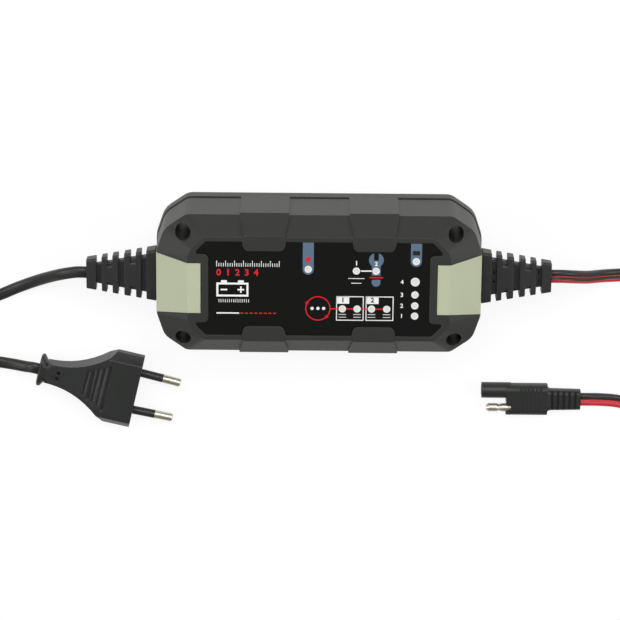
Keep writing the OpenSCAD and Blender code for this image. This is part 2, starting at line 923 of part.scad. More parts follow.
module display_board() {
    color("#1F5B38")
        translate([display_at.x, display_at.y, 0])
            difference() {
                plate(box_corners(display_l, display_w, 2), display_z, display_z + board_t);
                translate([-display_at.x, -display_at.y, 0])
                    at_display_posts()
                        post(board_screw_d + 4 * fit_gap, 0, case_h);
            }
}

module display_leds() {
    color("#F4F1DE")
        for (p = lights)
            block([2.2, 1.4, led_h], [p.x, p.y, display_z + board_t]);
}

board_screw_head_d = 4.4;
board_screw_head_h = 1.6;
board_screw_in = 4.4;     // how far a board screw goes into its post
display_screw_in = 5;
module board_screws() {
    color("#9A9DA1")
        four_corners(2 * board_boss_x, 2 * board_boss_y) {
            post(board_screw_head_d, board_top, board_top + board_screw_head_h);
            post(board_screw_d, board_z - board_screw_in, board_top + board_screw_head_h / 2);
        }
}

module display_screws() {
    color("#9A9DA1")
        at_display_posts() {
            post(board_screw_head_d, display_z - board_screw_head_h, display_z);
            post(
                board_screw_d,
                display_z - board_screw_head_h / 2,
                display_z + board_t + display_screw_in
            );
        }
}

header_x = board_l / 2 - 9;
header_pitch = 2.54;
header_base_h = 8.5;
header_pin_d = 0.7;
module board_header() {
    base = [header_pitch, 5 * header_pitch];
    color("#202124") {
        block([base.x, base.y, header_base_h], [header_x, 0, board_top]);
        block([base.x, base.y, header_pitch], [header_x, 0, display_z - header_pitch]);
        for (k = [-2:2])
            post(
                header_pin_d,
                board_top + header_base_h / 2, display_z - header_pitch / 2,
                [header_x, k * header_pitch]
            );
    }
}

core_at = [6, 0];
core_room = 3.8;          // between the transformer and the display board
core_size = [27, 11, display_z - board_top - core_room];
core_leg = 8;
core_yoke = 4;
core_side = 4;
coil_gap_in_core = 0.3;
module transformer_core() {
    color("#3B3C3F")
        difference() {
            block(core_size, [core_at.x, core_at.y, board_top]);
            for (side = [-1, 1])
                block(
                    [
                        (core_size.x - core_leg) / 2 - core_side,
                        core_size.y + 2 * through,
                        core_size.z - 2 * core_yoke
                    ],
                    [
                        core_at.x + side * (core_size.x / 2 + core_leg / 2 - core_side) / 2,
                        core_at.y,
                        board_top + core_yoke
                    ]
                );
        }
}

module transformer_coil() {
    winding = [core_size.x - 2 * core_side - 2 * coil_gap_in_core, core_size.y + 9];
    height = core_size.z - 2 * core_yoke - 2 * coil_gap_in_core;
    color("#C9A227")
        translate([core_at.x, core_at.y, 0])
            difference() {
                plate(
                    box_corners(winding.x, winding.y, 2),
                    board_top + core_yoke + coil_gap_in_core,
                    board_top + core_yoke + coil_gap_in_core + height
                );
                block(
                    [core_leg + 2 * coil_gap_in_core, core_size.y + 2 * coil_gap_in_core, case_h],
                    [0, 0, 0]
                );
            }
}

vent_deep = 0.4;
vent_w = 0.5;
crimp_z = 2.4;
crimp_d = 1.6;
// An upright can capacitor, with the cross of its vent and its crimped groove
module can(d, h, at) {
    translate([at.x, at.y, board_top])
        difference() {
            post(d, 0, h);
            for (turn = [0, 90])
                rotate([0, 0, turn])
                    block([d * 0.6, vent_w, 2 * vent_deep], [0, 0, h - vent_deep]);
            translate([0, 0, crimp_z])
                rotate_extrude()
                    translate([d / 2 + crimp_d * 0.2, 0])
                        circle(d = crimp_d);
        }
}

bulk_d = 16;
bulk_h = 19;
module bulk_capacitor() {
    color("#26364F")
        can(bulk_d, bulk_h, [35 - board_l / 2, -10]);
}

output_can_d = 10;
output_can_h = 16;
module output_capacitors() {
    color("#2C2C30")
        for (side = [-1, 1])
            can(output_can_d, output_can_h, [38.5, 12 * side]);
}

// Mains-side parts keep their places from the board's left end
choke_r = 7;
choke_coil_r = 3.6;
module line_filter_choke() {
    color("#B4682B")
        translate([17 - board_l / 2, 10, board_top])
            rotate_extrude()
                translate([choke_r, choke_coil_r])
                    circle(r = choke_coil_r);
}

film_size = [16, 8, 13];
module film_capacitor() {
    color("#C8A93A")
        translate([19 - board_l / 2, -11.5, 0])
            plate(box_corners(film_size.x, film_size.y, 1.2), board_top, board_top + film_size.z);
}

bridge_size = [15, 4.4, 11];
bridge_hole_d = 3.2;
module bridge_rectifier() {
    color("#222326")
        translate([36.5 - board_l / 2, 12.5, board_top])
            difference() {
                block(bridge_size, [0, 0, 0]);
                translate([0, 0, bridge_size.z - 4])
                    rotate([90, 0, 0])
                        cylinder(d = bridge_hole_d, h = 2 * bridge_size.y, center = true);
            }
}

fuse_d = 8.4;
fuse_h = 8;
module fuse() {
    color("#6E4A2E")
        post(fuse_d, board_top, board_top + fuse_h, [5.7 - board_l / 2, -9.6]);
}

sink_size = [24, 5.4, 19];
sink_at = [20, 14.6];
fin_count = 6;
fin_t = 1.2;
sink_back = 1.6;
module sink(at) {
    translate([at.x - sink_size.x / 2, at.y, board_top]) {
        cube([sink_size.x, sink_back, sink_size.z]);
        for (k = [0:fin_count - 1])
            translate([k * (sink_size.x - fin_t) / (fin_count - 1), 0, 0])
                cube([fin_t, sink_size.y, sink_size.z]);
    }
}

module heatsinks() {
    color("#A9ADB2") {
        sink(sink_at);
        mirror([0, 1, 0])
            sink(sink_at);
    }
}

tab_size = [10, 1.2, 15];
moulding_size = [10, 3.4, 9];
leg_size = [0.8, 0.6, 4];
leg_pitch = 2.54;
standoff = 3;
// A power transistor on its three legs, its tab flat on the heatsink
module transistor() {
    translate([sink_at.x, sink_at.y, board_top]) {
        translate([-tab_size.x / 2, -tab_size.y, standoff])
            cube(tab_size);
        translate([-moulding_size.x / 2, -tab_size.y - moulding_size.y, standoff])
            cube([moulding_size.x, moulding_size.y + 0.2, moulding_size.z]);
        for (k = [-1:1])
            translate([k * leg_pitch - leg_size.x / 2, -moulding_size.y + 0.4, 0])
                cube(leg_size);
    }
}

module power_transistors() {
    color("#2A2B2D") {
        transistor();
        mirror([0, 1, 0])
            transistor();
    }
}

chip_size = [9, 5, 1.6];
small_chip_size = [5, 4, 1.6];
module control_chips() {
    color("#18191B") {
        block(small_chip_size, [-4, small_chip_size.y / 2 + 1.9 - board_w / 2, board_top]);
        block(chip_size, [17 - board_l / 2, -3.7, board_top]);
    }
}

// Wires from the end of a lead inside its relief down to the board
wire_d = 2.2;
relief_tail = 3;
relief_flange = 2.2;
relief_root = case_w / 2 - wall + lean(lead_z + neck_t / 2 + relief_flange) - seat_gap;
wire_start_x = relief_root - relief_tail;
wire_foot_x = board_l / 2 - 2.6;
module wire(side, start_y, foot_y) {
    foot = [side * wire_foot_x, foot_y, board_top];
    start = [side * wire_start_x, start_y, lead_z];
    path = [
        start,
        start - [side * 3, 0, 0],
        start - [side * 7, (start_y - foot_y) / 3, 1.5],
        foot + [side * 3.4, (start_y - foot_y) / 4, 7],
        foot + [0, 0, 3],
        foot
    ];
    rings = [for (i = [0:len(path) - 1]) wire_ring(path[i], heading(path, i), side)];
    loft(rings);
}
function wire_ring(at, way, side) =
    let (sideways = [0, side, 0], other = unit(cross(way, sideways)), out = cross(other, way))
    [for (i = [0:7]) at + wire_d / 2 * (out * cos(45 * i) + other * sin(45 * i))];

module inner_mains_wires() {
    color("#3A4FA0")
        for (k = [-1, 1])
            wire(-1, k * 1.4, k * 4);
}

module inner_dc_wires() {
    color("#B8343F")
        for (k = [-1, 1])
            wire(1, k * 1.6, k * 4.5);
}

// ---- strain reliefs -------------------------------------------------------------

// Start and end of each rib as shares of the relief's length, from the end wall
rib_shares = [[0.012, 0.148], [0.222, 0.295], [0.375, 0.462], [0.548, 0.628], [0.708, 0.782], [0.862, 1]];
relief_start = case_w / 2 + lean(lead_z);
relief_len = relief_end - relief_start;
function along_relief(share) = relief_start + share * relief_len;
web_overlap = 0.5;
function mix(a, b, x) = a + (b - a) * (x - relief_start) / relief_len;
function relief_ring(x, in_w, in_t) =
    let (w = mix(relief_w, relief_end_w, x) - 2 * in_w, t = mix(relief_t, relief_end_t, x) - 2 * in_t)
    [for (p = rounded(box_corners(w, t, t * 0.14), 3)) [x, p.x, lead_z + p.y]];
module relief_piece(x0, x1, in_w = 0, in_t = 0) {
    loft([relief_ring(x0, in_w, in_t), relief_ring(x1, in_w, in_t)]);
}

module relief_plate(corners, x0, x1) {
    along([for (p = rounded(corners)) [p.x, p.y + lead_z]], x0, x1);
}

module relief() {
    color("#2A2B2A") {
        relief_plate(
            box_corners(neck_w + 3 * relief_flange, neck_t + 2 * relief_flange, 2),
            relief_root - relief_tail, relief_root
        );
        relief_plate(
            box_corners(neck_w, neck_t, 0.6),
            relief_root - relief_tail, relief_start + 1
        );
        relief_piece(along_relief(0.02), along_relief(0.98), slot_deep * 1.6, slot_deep);
        for (rib = rib_shares)
            relief_piece(along_relief(rib[0]), along_relief(rib[1]));
        // Webs that join the second rib to the third and the fourth to the fifth
        for (k = [1, 3])
            relief_piece(
                along_relief(rib_shares[k][1]) - web_overlap,
                along_relief(rib_shares[k + 1][0]) + web_overlap,
                notch_deep, 0
            );
    }
}

// Marks of the mould's core pins in the first and last slots
core_mark_shares = [0.185, 0.822];
core_mark_d = 1.1;
module dc_strain_relief() {
    difference() {
        relief();
        for (share = core_mark_shares, y = [-2.2, 2.2])
            post(core_mark_d, lead_z + 0.8, lead_z + relief_t, [along_relief(share), y]);
    }
}

module mains_strain_relief() {
    mirrored_x()
        relief();
}

// ---- mains plug -----------------------------------------------------------------

shoulder_at = -12.4;
neck_half = 4.65;
neck_half_t = 4.1;
taper_start = shoulder_at - 2.2;
taper_steps = 9;
taper_len = plug_len + shoulder_at;
// Half outline of the plug seen from above: it narrows on a hollow curve to its neck
plug_edge = concat(
    [[0, plug_w / 2 - 0.2]],
    [for (i = [0:taper_steps])
        let (s = i / taper_steps)
        [shoulder_at - s * taper_len, neck_half + (plug_w / 2 - neck_half) * pow(1 - s, 2.3)]]
);
plug_side = [
    [0, plug_t / 2],
    [taper_start, plug_t / 2],
    [-plug_len, neck_half_t]
];
// Sections of the collar: distance from its back, width, thickness
collar_rings = [
    [0, 13.6, 8.4], [0.5, 15.2, 9.6], [1.3, 15.6, 10], [2, 14.6, 9.4],
    [2.7, 12.4, 8.8], [3.6, 10.4, 8.2], [5, 9.2, 7.6]
];
function both_sides(half) = concat(
    half,
    [for (i = [len(half) - 1:-1:0]) [half[i].x, -half[i].y]]
);

groove_places = [-14.2, -16.7, -19.2, -21.6, -23.9];
core_hole_at = [-37.3, 1.5];
module plug_body() {
    color("#2A2B2A")
        translate(plug_face)
            rotate([0, 0, plug_angle])
                difference() {
                    union() {
                        intersection() {
                            translate([0, 0, -plug_t])
                                linear_extrude(2 * plug_t)
                                    polygon(both_sides(plug_edge));
                            across(both_sides(plug_side), plug_w * 2);
                            along(
                                rounded(four_way([[plug_w / 2, 2, 1], [plug_w / 2 - 3.4, plug_t / 2, 1.2]])),
                                -plug_len - 1, 1
                            );
                        }
                        loft([for (r = collar_rings)
                            at_x(rounded(box_corners(r[1], r[2], r[2] * 0.46), 4), r[0] - plug_len - collar_len)]);
                    }
                    for (side = [-1, 1])
                        translate([0, side * pin_gap / 2, 0])
                            rotate([0, 90, -side * pin_toe])
                                translate([0, 0, -pin_root])
                                    cylinder(d = pin_core_d + 2 * fit_gap, h = 2 * pin_root);
                    for (k = [0:len(groove_places) - 1], side = [-1, 1])
                        plug_cut([groove_places[k], 0], [1.5, plug_w * (0.61 - 0.072 * k)], 0.7, side);
                    for (y = [-1, 1], side = [-1, 1])
                        plug_cut([core_hole_at.x, y * core_hole_at.y], [1.8, 1.4], 1.2, side);
                }
}

// A flat-bottomed cut of a given depth into the upper or lower face of the plug
module plug_cut(at, size, depth, side) {
    slope = (plug_t / 2 - neck_half_t) / (plug_len + taper_start);
    half_t = plug_t / 2 + min(0, (at.x - taper_start) * slope);
    translate([at.x - size.x / 2, at.y - size.y / 2, side > 0 ? half_t - depth : -half_t - plug_t])
        cube([size.x, size.y, plug_t + (side > 0 ? 0 : depth)]);
}

pin_toe = atan((pin_gap - pin_tip_gap) / 2 / pin_len);
pin_core_d = 3.1;
pin_root = 8;
module at_pins() {
    translate(plug_face)
        rotate([0, 0, plug_angle])
            for (side = [-1, 1])
                translate([0, side * pin_gap / 2, 0])
                    rotate([0, 90, -side * pin_toe])
                        children();
}

tip_round = 0.8;
module plug_pins() {
    color("#C9C6BA")
        at_pins() {
            translate([0, 0, -pin_root + 0.2])
                cylinder(d = pin_core_d, h = pin_root + sleeve_len);
            translate([0, 0, sleeve_len])
                rotate_extrude()
                    polygon([
                        [0, 0],
                        [pin_d / 2, 0],
                        [pin_d / 2, pin_len - sleeve_len - tip_round],
                        [pin_d / 2 - tip_round * 0.3, pin_len - sleeve_len - tip_round * 0.3],
                        [pin_d / 2 - tip_round, pin_len - sleeve_len],
                        [0, pin_len - sleeve_len]
                    ]);
        }
}

module plug_pin_sleeves() {
    color("#1E1F1E")
        at_pins()
            translate([0, 0, 0.1])
                difference() {
                    cylinder(d = pin_d - 0.1, h = sleeve_len - 0.1);
                    translate([0, 0, -through])
                        cylinder(d = pin_core_d + 2 * fit_gap, h = sleeve_len + 2 * through);
                }
}

// ---- trailer connector ----------------------------------------------------------

block_w = pitch + barrel_d - 1;
block_t = barrel_d;
// Sections of the tail: distance from the body's back, width, thickness
tail_rings = [[-0.4, 13, 6.9], [0.4, 11.2, 6.6], [1.4, 10.2, 6.3], [tail_len, 9.6, 5.9]];
tail_slots = 5;
tail_pitch = 2.7;
slot_w = 1.2;
slot_in = 0.9;
mouth_deep = 1.4;
socket_len = barrel_len + 2;
bullet_pocket = 2.2;
bullet_root_d = 3.4;
bullet_root = 3.8;
barrel_y = pitch / 2;
module connector_body() {
    color("#2B2C2B")
        translate(connector_nose)
            difference() {
                union() {
                    translate([0, barrel_y, 0])
                        rotate([0, 90, 0])
                            cylinder(d = barrel_d, h = barrel_len + 2);
                    along(rounded(box_corners(block_w, block_t, 2.6)), barrel_len, barrel_len + block_len);
                    loft([for (r = tail_rings)
                        at_x(rounded(box_corners(r[1], r[2], r[2] * 0.34)), r[0] + barrel_len + block_len)]);
                }
                translate([0, barrel_y, 0])
                    rotate([0, 90, 0]) {
                        translate([0, 0, -through])
                            cylinder(d = socket_d + 2 * socket_wall + 0.6, h = through + mouth_deep);
                        cylinder(d = socket_d + 2 * socket_wall + 2 * fit_gap, h = mouth_deep + socket_len);
                    }
                translate([barrel_len - through, -barrel_y, 0])
                    rotate([0, 90, 0])
                        cylinder(d = bullet_d + 1.6, h = through + bullet_pocket);
                block([2 * bullet_pocket, bullet_d + 0.8, 2 * block_t], [barrel_len, -barrel_y, -block_t]);
                translate([barrel_len, -barrel_y, 0])
                    rotate([0, 90, 0])
                        cylinder(d = bullet_root_d + 2 * fit_gap, h = bullet_pocket + bullet_root + 0.2);
                for (k = [0:tail_slots - 1], side = [0, 1])
                    mirror([0, 0, side])
                        block(
                            [slot_w, block_w, block_t],
                            [barrel_len + block_len + 2.2 + k * tail_pitch, 0, tail_rings[3][2] / 2 - slot_in]
                        );
            }
}

module connector_socket() {
    color("#C7A450")
        translate(connector_nose + [mouth_deep, barrel_y, 0])
            rotate([0, 90, 0])
                difference() {
                    cylinder(d = socket_d + 2 * socket_wall, h = socket_len - 0.1);
                    translate([0, 0, -through])
                        cylinder(d = socket_d, h = socket_len - 2);
                }
}

bullet_out = 9.2;
bullet_waist = 3.2;
bullet_hole_d = 1.8;
module connector_pin() {
    color("#D2D2CC")
        translate(connector_nose + [barrel_len + bullet_pocket, -barrel_y, 0])
            rotate([0, -90, 0])
                rotate_extrude()
                    polygon([
                        [0, -bullet_root],
                        [bullet_root_d / 2, -bullet_root],
                        [bullet_root_d / 2, 0],
                        [bullet_d / 2, 0],
                        [bullet_d / 2, bullet_pocket + 1.9],
                        [bullet_waist / 2, bullet_pocket + 3.2],
                        [bullet_d / 2, bullet_pocket + 4.4],
                        [bullet_d / 2, bullet_pocket + 8.2],
                        [bullet_d / 2 - 0.6, bullet_pocket + bullet_out],
                        [bullet_hole_d / 2, bullet_pocket + bullet_out],
                        [bullet_hole_d / 2, bullet_pocket + 4.8],
                        [0, bullet_pocket + 4.8]
                    ]);
}

bottom_cover();
top_cover();
case_gasket();
end_pad_left();
end_pad_right();
label_panel();
light_guides();
mode_button();
mains_strain_relief();
dc_strain_relief();
case_screws();
main_board();
display_board();
display_leds();
mode_switch();
switch_plunger();
board_header();
transformer_core();
transformer_coil();
bulk_capacitor();
output_capacitors();
line_filter_choke();
film_capacitor();
bridge_rectifier();
fuse();
power_transistors();
heatsinks();
control_chips();
board_screws();
display_screws();
inner_mains_wires();
inner_dc_wires();
mains_cord_gland_run();
mains_cord_coil();
mains_cord_plug_run();
mains_cord_tie();
plug_body();
plug_pins();
plug_pin_sleeves();
dc_lead_gland_run();
dc_lead_coil();
dc_lead_connector_run();
dc_lead_tie();
connector_body();
connector_pin();
connector_socket();
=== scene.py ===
import math

import bmesh
import bpy
from mathutils import Matrix, Vector
from mathutils.bvhtree import BVHTree


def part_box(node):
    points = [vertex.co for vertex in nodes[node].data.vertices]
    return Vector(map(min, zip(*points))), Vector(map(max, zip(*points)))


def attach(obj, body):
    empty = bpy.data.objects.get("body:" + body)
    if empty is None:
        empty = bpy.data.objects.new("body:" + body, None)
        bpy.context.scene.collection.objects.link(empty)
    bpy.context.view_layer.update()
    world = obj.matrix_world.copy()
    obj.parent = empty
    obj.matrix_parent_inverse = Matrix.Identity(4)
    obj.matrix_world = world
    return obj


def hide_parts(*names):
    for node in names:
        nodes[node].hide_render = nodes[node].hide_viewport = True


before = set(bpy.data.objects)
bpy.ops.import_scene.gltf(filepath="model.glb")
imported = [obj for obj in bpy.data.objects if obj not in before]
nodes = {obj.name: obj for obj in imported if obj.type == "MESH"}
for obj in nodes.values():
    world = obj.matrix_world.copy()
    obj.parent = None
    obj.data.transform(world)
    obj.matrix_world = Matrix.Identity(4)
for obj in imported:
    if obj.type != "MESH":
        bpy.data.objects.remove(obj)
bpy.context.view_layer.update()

print("frame loaded:", len(nodes), "CAD pieces")

# above the charger, a little towards the top of its label
cameraView = {
    "target": (-0.00393, -0.0230, 0.0),
    "distance": 1.3,
    "tilt": 16.5,  # degrees from straight above
    "roll": 0.5,  # degrees
    "lens": 162,
    "reach": 20,
}


def placeCamera():
    tilt = math.radians(cameraView["tilt"])
    back = Vector((0, math.sin(tilt), math.cos(tilt)))
    up = Vector((0, math.cos(tilt), -math.sin(tilt)))
    level = Matrix((up.cross(back), up, back)).transposed()
    turned = level @ Matrix.Rotation(math.radians(cameraView["roll"]), 3, "Z")
    place = Vector(cameraView["target"]) + back * cameraView["distance"]
    bpy.ops.object.camera_add()
    camera = bpy.context.object
    camera.data.lens = cameraView["lens"]
    camera.data.clip_end = cameraView["reach"]
    camera.matrix_world = Matrix.Translation(place) @ turned.to_4x4()
    bpy.context.scene.camera = camera


placeCamera()
print("camera placed")

# both leads go straight out of their relief, down to the table, into a tied coil and back; a section is two
# arcs back to back, and arcReach is how many degrees each goes to either side: 90 gives flat faces between
# them, and more gives a groove
mainsLead = {
    "width": 0.0054,
    "thickness": 0.0034,
    "arcReach": 90,
    "arcSteps": 7,
    "length": 1.51,
    "exit": (-0.106, 0, 0.020),
    "out": [
        (-0.106, 0, 0.020), (-0.111, 0, 0.020), (-0.118, -0.0018, 0.0175), (-0.125, -0.005, 0.012),
        (-0.132, -0.0085, 0.007), (-0.140, -0.0125, 0.0032), (-0.148, -0.0163, 0.0018),
        (-0.158, -0.0198, 0.0018), (-0.169, -0.0195, 0.0018), (-0.179, -0.014, 0.0022),
    ],
    "coil": {"centre": (-0.223, -0.032), "start": 48, "turns": 6.67, "way": 1, "radius": 0.0324,
             "pitch": 0.0068, "rise": 0.0045, "low": 0.0027},
    "back": [
        (-0.187, -0.062, 0.0034), (-0.175, -0.0546, 0.0018), (-0.163, -0.0499, 0.0018),
        (-0.153, -0.0488, 0.0019), (-0.144, -0.0496, 0.0027), (-0.137, -0.0502, 0.0048),
    ],
    "endWay": (0.97437, -0.22495, 0),
    "end": (-0.130101, -0.050772, 0.00685),
    "endRun": 0.003,
}
twinLead = {
    "width": 0.0062,
    "thickness": 0.0031,
    "arcReach": 152,
    "arcSteps": 16,
    "length": 1.30,
    "exit": (0.106, 0, 0.020),
    "out": [
        (0.106, 0, 0.020), (0.111, 0, 0.020), (0.117, -0.001, 0.0172), (0.124, -0.0028, 0.011),
        (0.131, -0.0038, 0.0052), (0.138, -0.0042, 0.0022), (0.146, -0.0038, 0.0016),
        (0.154, -0.0018, 0.0016),
    ],
    "coil": {"centre": (0.192, -0.036), "start": 110, "turns": 5.61, "way": -1, "radius": 0.034,
             "pitch": 0.0078, "rise": 0.0043, "low": 0.00255},
    "back": [
        (0.156, -0.0696, 0.0034), (0.148, -0.0672, 0.0026), (0.140, -0.0656, 0.0019),
        (0.132, -0.0648, 0.0026),
    ],
    "endWay": (-1, 0, 0),
    "end": (0.123, -0.0644, 0.0037),
    "endRun": 0.004,
    # faces of its section in red, the others black; the red runs one face onto the black core at the
    # groove, and three black faces on the red core beside it are painted groove shade
    "redFaces": (15, 16, *range(20, 34)),
    "halfTwist": (0.022, 0.054),  # where it turns over, measured back from the connector
}
coilSteps = 72  # points in a turn
climbTurns = 0.5  # the part of a turn in which a coil climbs from its lower layer to its upper one


def smoothRoute(points, spans=6):
    # a curve through the points, with even spans between each two
    points = [Vector(p) for p in points]
    last = len(points) - 1
    curve = []
    for i in range(last):
        a, b, c, d = points[max(i - 1, 0)], points[i], points[i + 1], points[min(i + 2, last)]
        for k in range(spans):
            t = k / spans
            point = 2 * b + (c - a) * t
            point += (2 * a - 5 * b + 4 * c - d) * t * t
            point += (3 * b - a - 3 * c + d) * t**3
            curve.append(0.5 * point)
    return curve + [points[last]]


def easedShare(share):
    # from 0 to 1, with a soft start and a soft end
    s = min(max(share, 0), 1)
    return s * s * (3 - 2 * s)


def coilAngle(coil, turn):
    return math.radians(coil["start"] + coil["way"] * 360 * turn)


def coilPoint(coil, turn):
    # inwards on the lower layer, up, and outwards on the upper layer
    reach = (coil["turns"] - climbTurns) / 2
    inward = min(turn, reach, 2 * reach + climbTurns - turn)
    radius = coil["radius"] + coil["pitch"] * (reach / 2 - inward)
    angle = coilAngle(coil, turn)
    return Vector((
        coil["centre"][0] + radius * math.cos(angle),
        coil["centre"][1] + radius * math.sin(angle),
        coil["low"] + coil["rise"] * easedShare((turn - reach) / climbTurns),
    ))


def coilWay(coil, turn):
    angle = coilAngle(coil, turn)
    return coil["way"] * Vector((-math.sin(angle), math.cos(angle), 0))


def leadPath(lead):
    coil, width = lead["coil"], lead["width"]
    steps = round(coil["turns"] * coilSteps)
    first, firstWay = coilPoint(coil, 0), coilWay(coil, 0)
    last, lastWay = coilPoint(coil, coil["turns"]), coilWay(coil, coil["turns"])
    end = Vector(lead["end"])
    entry = end - Vector(lead["endWay"]) * lead["endRun"]
    out = smoothRoute(lead["out"] + [first - firstWay * 2 * width, first - firstWay * width])
    turns = [coilPoint(coil, coil["turns"] * i / steps) for i in range(steps + 1)]
    leave = [last + lastWay * width, last + lastWay * 2 * width]
    return out + turns + smoothRoute(leave + lead["back"] + [entry, end])


def leadSection(lead):
    radius, away = lead["thickness"] / 2, (lead["width"] - lead["thickness"]) / 2
    reach, steps = lead["arcReach"], lead["arcSteps"]
    ring = []
    for side, facing in ((1, 0), (-1, 180)):
        for i in range(steps + 1):
            angle = math.radians(2 * reach * i / steps - reach + facing)
            ring.append((side * away + radius * math.cos(angle), radius * math.sin(angle)))
    return ring


def pathLength(path):
    return sum((b - a).length for a, b in zip(path, path[1:]))


def sweepLead(name, path, section, rollAt=lambda distance: 0.0, slotAt=lambda k: 0):
    count = len(section)
    vertices, uvs, travelled = [], [], 0.0
    for i, here in enumerate(path):
        way = (path[min(i + 1, len(path) - 1)] - path[max(i - 1, 0)]).normalized()
        travelled += (here - path[i - 1]).length if i else 0.0
        side = Vector((0, 0, 1)).cross(way).normalized()
        over = way.cross(side)
        cos, sin = math.cos(rollAt(travelled)), math.sin(rollAt(travelled))
        side, over = side * cos + over * sin, over * cos - side * sin
        for k, (u, v) in enumerate(section):
            vertices.append(here + side * u + over * v)
            uvs.append((travelled, k / count))
    faces, slots = [], []
    for i in range(len(path) - 1):
        ring, following = i * count, (i + 1) * count
        for k in range(count):
            beside = (k + 1) % count
            faces.append((ring + k, following + k, following + beside, ring + beside))
            slots.append(slotAt(k))
    faces.append(tuple(range(count)))
    faces.append(tuple((len(path) - 1) * count + k for k in reversed(range(count))))
    slots += [0, 0]  # the two ends
    mesh = bpy.data.meshes.new(name)
    mesh.from_pydata(vertices, [], faces)
    layer = mesh.uv_layers.new(name="alongLead")
    for loop in mesh.loops:
        layer.data[loop.index].uv = uvs[loop.vertex_index]
    for face, slotIndex in zip(mesh.polygons, slots):
        face.material_index = slotIndex
        face.use_smooth = True
    mesh.update()
    piece = bpy.data.objects.new(name, mesh)
    bpy.context.scene.collection.objects.link(piece)
    return piece


mainsPath, twinPath = leadPath(mainsLead), leadPath(twinLead)
twinRun = pathLength(twinPath)


def twinRoll(distance):
    # black lies above red at the relief and again at the connector, so the pair turns over once
    near, far = twinLead["halfTwist"]
    return math.pi * easedShare((far - (twinRun - distance)) / (far - near))


# slot 0 is red and slot 1 black; the black includes the painted groove shade on the red core
def twinSlot(k):
    return 0 if k in twinLead["redFaces"] else 1


mainsCord = sweepLead("mains_cord", mainsPath, leadSection(mainsLead))
twinCord = sweepLead("twin_lead", twinPath, leadSection(twinLead), twinRoll, twinSlot)
print("leads swept:", [round(pathLength(path), 3) for path in (mainsPath, twinPath)])


def linearColour(hexText):
    parts = [int(hexText[i : i + 2], 16) / 255 for i in (1, 3, 5)]
    return [c / 12.92 if c <= 0.04045 else ((c + 0.055) / 1.055) ** 2.4 for c in parts] + [1.0]


def addNode(tree, kind, settings=None, links=None):
    node = tree.nodes.new(kind)
    for key, value in (settings or {}).items():
        if isinstance(key, int) or key in node.inputs:
            node.inputs[key].default_value = value
        else:
            setattr(node, key, value)
    for key, socket in (links or {}).items():
        tree.links.new(socket, node.inputs[key])
    return node


def newMaterial(name):
    material = bpy.data.materials.new(name)
    material.use_nodes = True
    material.node_tree.nodes.clear()
    return material, material.node_tree


mixSockets = {"first": 6, "second": 7, "result": 2}  # a mix node's sockets for colours
plasticSpread = (0.05, 0.05)  # how far the roughness goes below and above the given one
metalSpread = (0.06, 0.08)


def patternedShader(tree, pattern, bump, rough, spread, settings, links):
    # the pattern breaks up the surface's roughness as well as its shape
    gloss = addNode(tree, "ShaderNodeMapRange", {"To Min": rough - spread[0], "To Max": rough + spread[1]},
                    {"Value": pattern.outputs["Fac"]})
    shader = addNode(tree, "ShaderNodeBsdfPrincipled", settings, {
        "Roughness": gloss.outputs["Result"], "Normal": bump.outputs["Normal"], **links})
    addNode(tree, "ShaderNodeOutputMaterial", None, {"Surface": shader.outputs["BSDF"]})


def mouldedPlastic(name, colour, rough, grainMm, grainDepthMm, cloudMm=9, cloudBy=0.08, specular=0.5,
                   uvMap=None, edgeMm=0):
    # grain is the mould's texture, cloud the slow drift of tone that mouldings and prints have, and edge
    # the radius that its sharp edges seem to have
    material, tree = newMaterial(name)
    if uvMap:
        place = addNode(tree, "ShaderNodeUVMap", {"uv_map": uvMap}).outputs["UV"]
    else:
        place = addNode(tree, "ShaderNodeTexCoord").outputs["Object"]
    base = linearColour(colour)[:3]
    cloud = addNode(tree, "ShaderNodeTexNoise", {"Scale": 1000 / cloudMm, "Detail": 3.0},
                    {"Vector": place})
    darker = [c * (1 - cloudBy) for c in base] + [1]
    lighter = [min(1, c * (1 + cloudBy)) for c in base] + [1]
    tone = addNode(tree, "ShaderNodeMix",
                   {"data_type": "RGBA", mixSockets["first"]: darker, mixSockets["second"]: lighter},
                   {"Factor": cloud.outputs["Fac"]})
    grain = addNode(tree, "ShaderNodeTexNoise", {"Scale": 1000 / grainMm, "Detail": 2.0, "Roughness": 0.6},
                    {"Vector": place})
    bump = addNode(tree, "ShaderNodeBump", {"Strength": 1.0, "Distance": grainDepthMm / 1000},
                   {"Height": grain.outputs["Fac"]})
    if edgeMm:
        edge = addNode(tree, "ShaderNodeBevel", {"samples": 6, "Radius": edgeMm / 1000})
        tree.links.new(edge.outputs["Normal"], bump.inputs["Normal"])
    patternedShader(tree, grain, bump, rough, plasticSpread, {"IOR": 1.5, "Specular IOR Level": specular},
                    {"Base Color": tone.outputs[mixSockets["result"]]})
    return material


def platedMetal(name, colour, rough, streakMm, streakDepthMm):
    # streaks of drawing or plating, which break up the reflections
    material, tree = newMaterial(name)
    place = addNode(tree, "ShaderNodeTexCoord").outputs["Object"]
    streak = addNode(tree, "ShaderNodeTexNoise", {"Scale": 1000 / streakMm, "Detail": 2.0},
                     {"Vector": place})
    bump = addNode(tree, "ShaderNodeBump", {"Strength": 1.0, "Distance": streakDepthMm / 1000},
                   {"Height": streak.outputs["Fac"]})
    patternedShader(tree, streak, bump, rough, metalSpread,
                    {"Base Color": linearColour(colour), "Metallic": 1.0}, {})
    return material


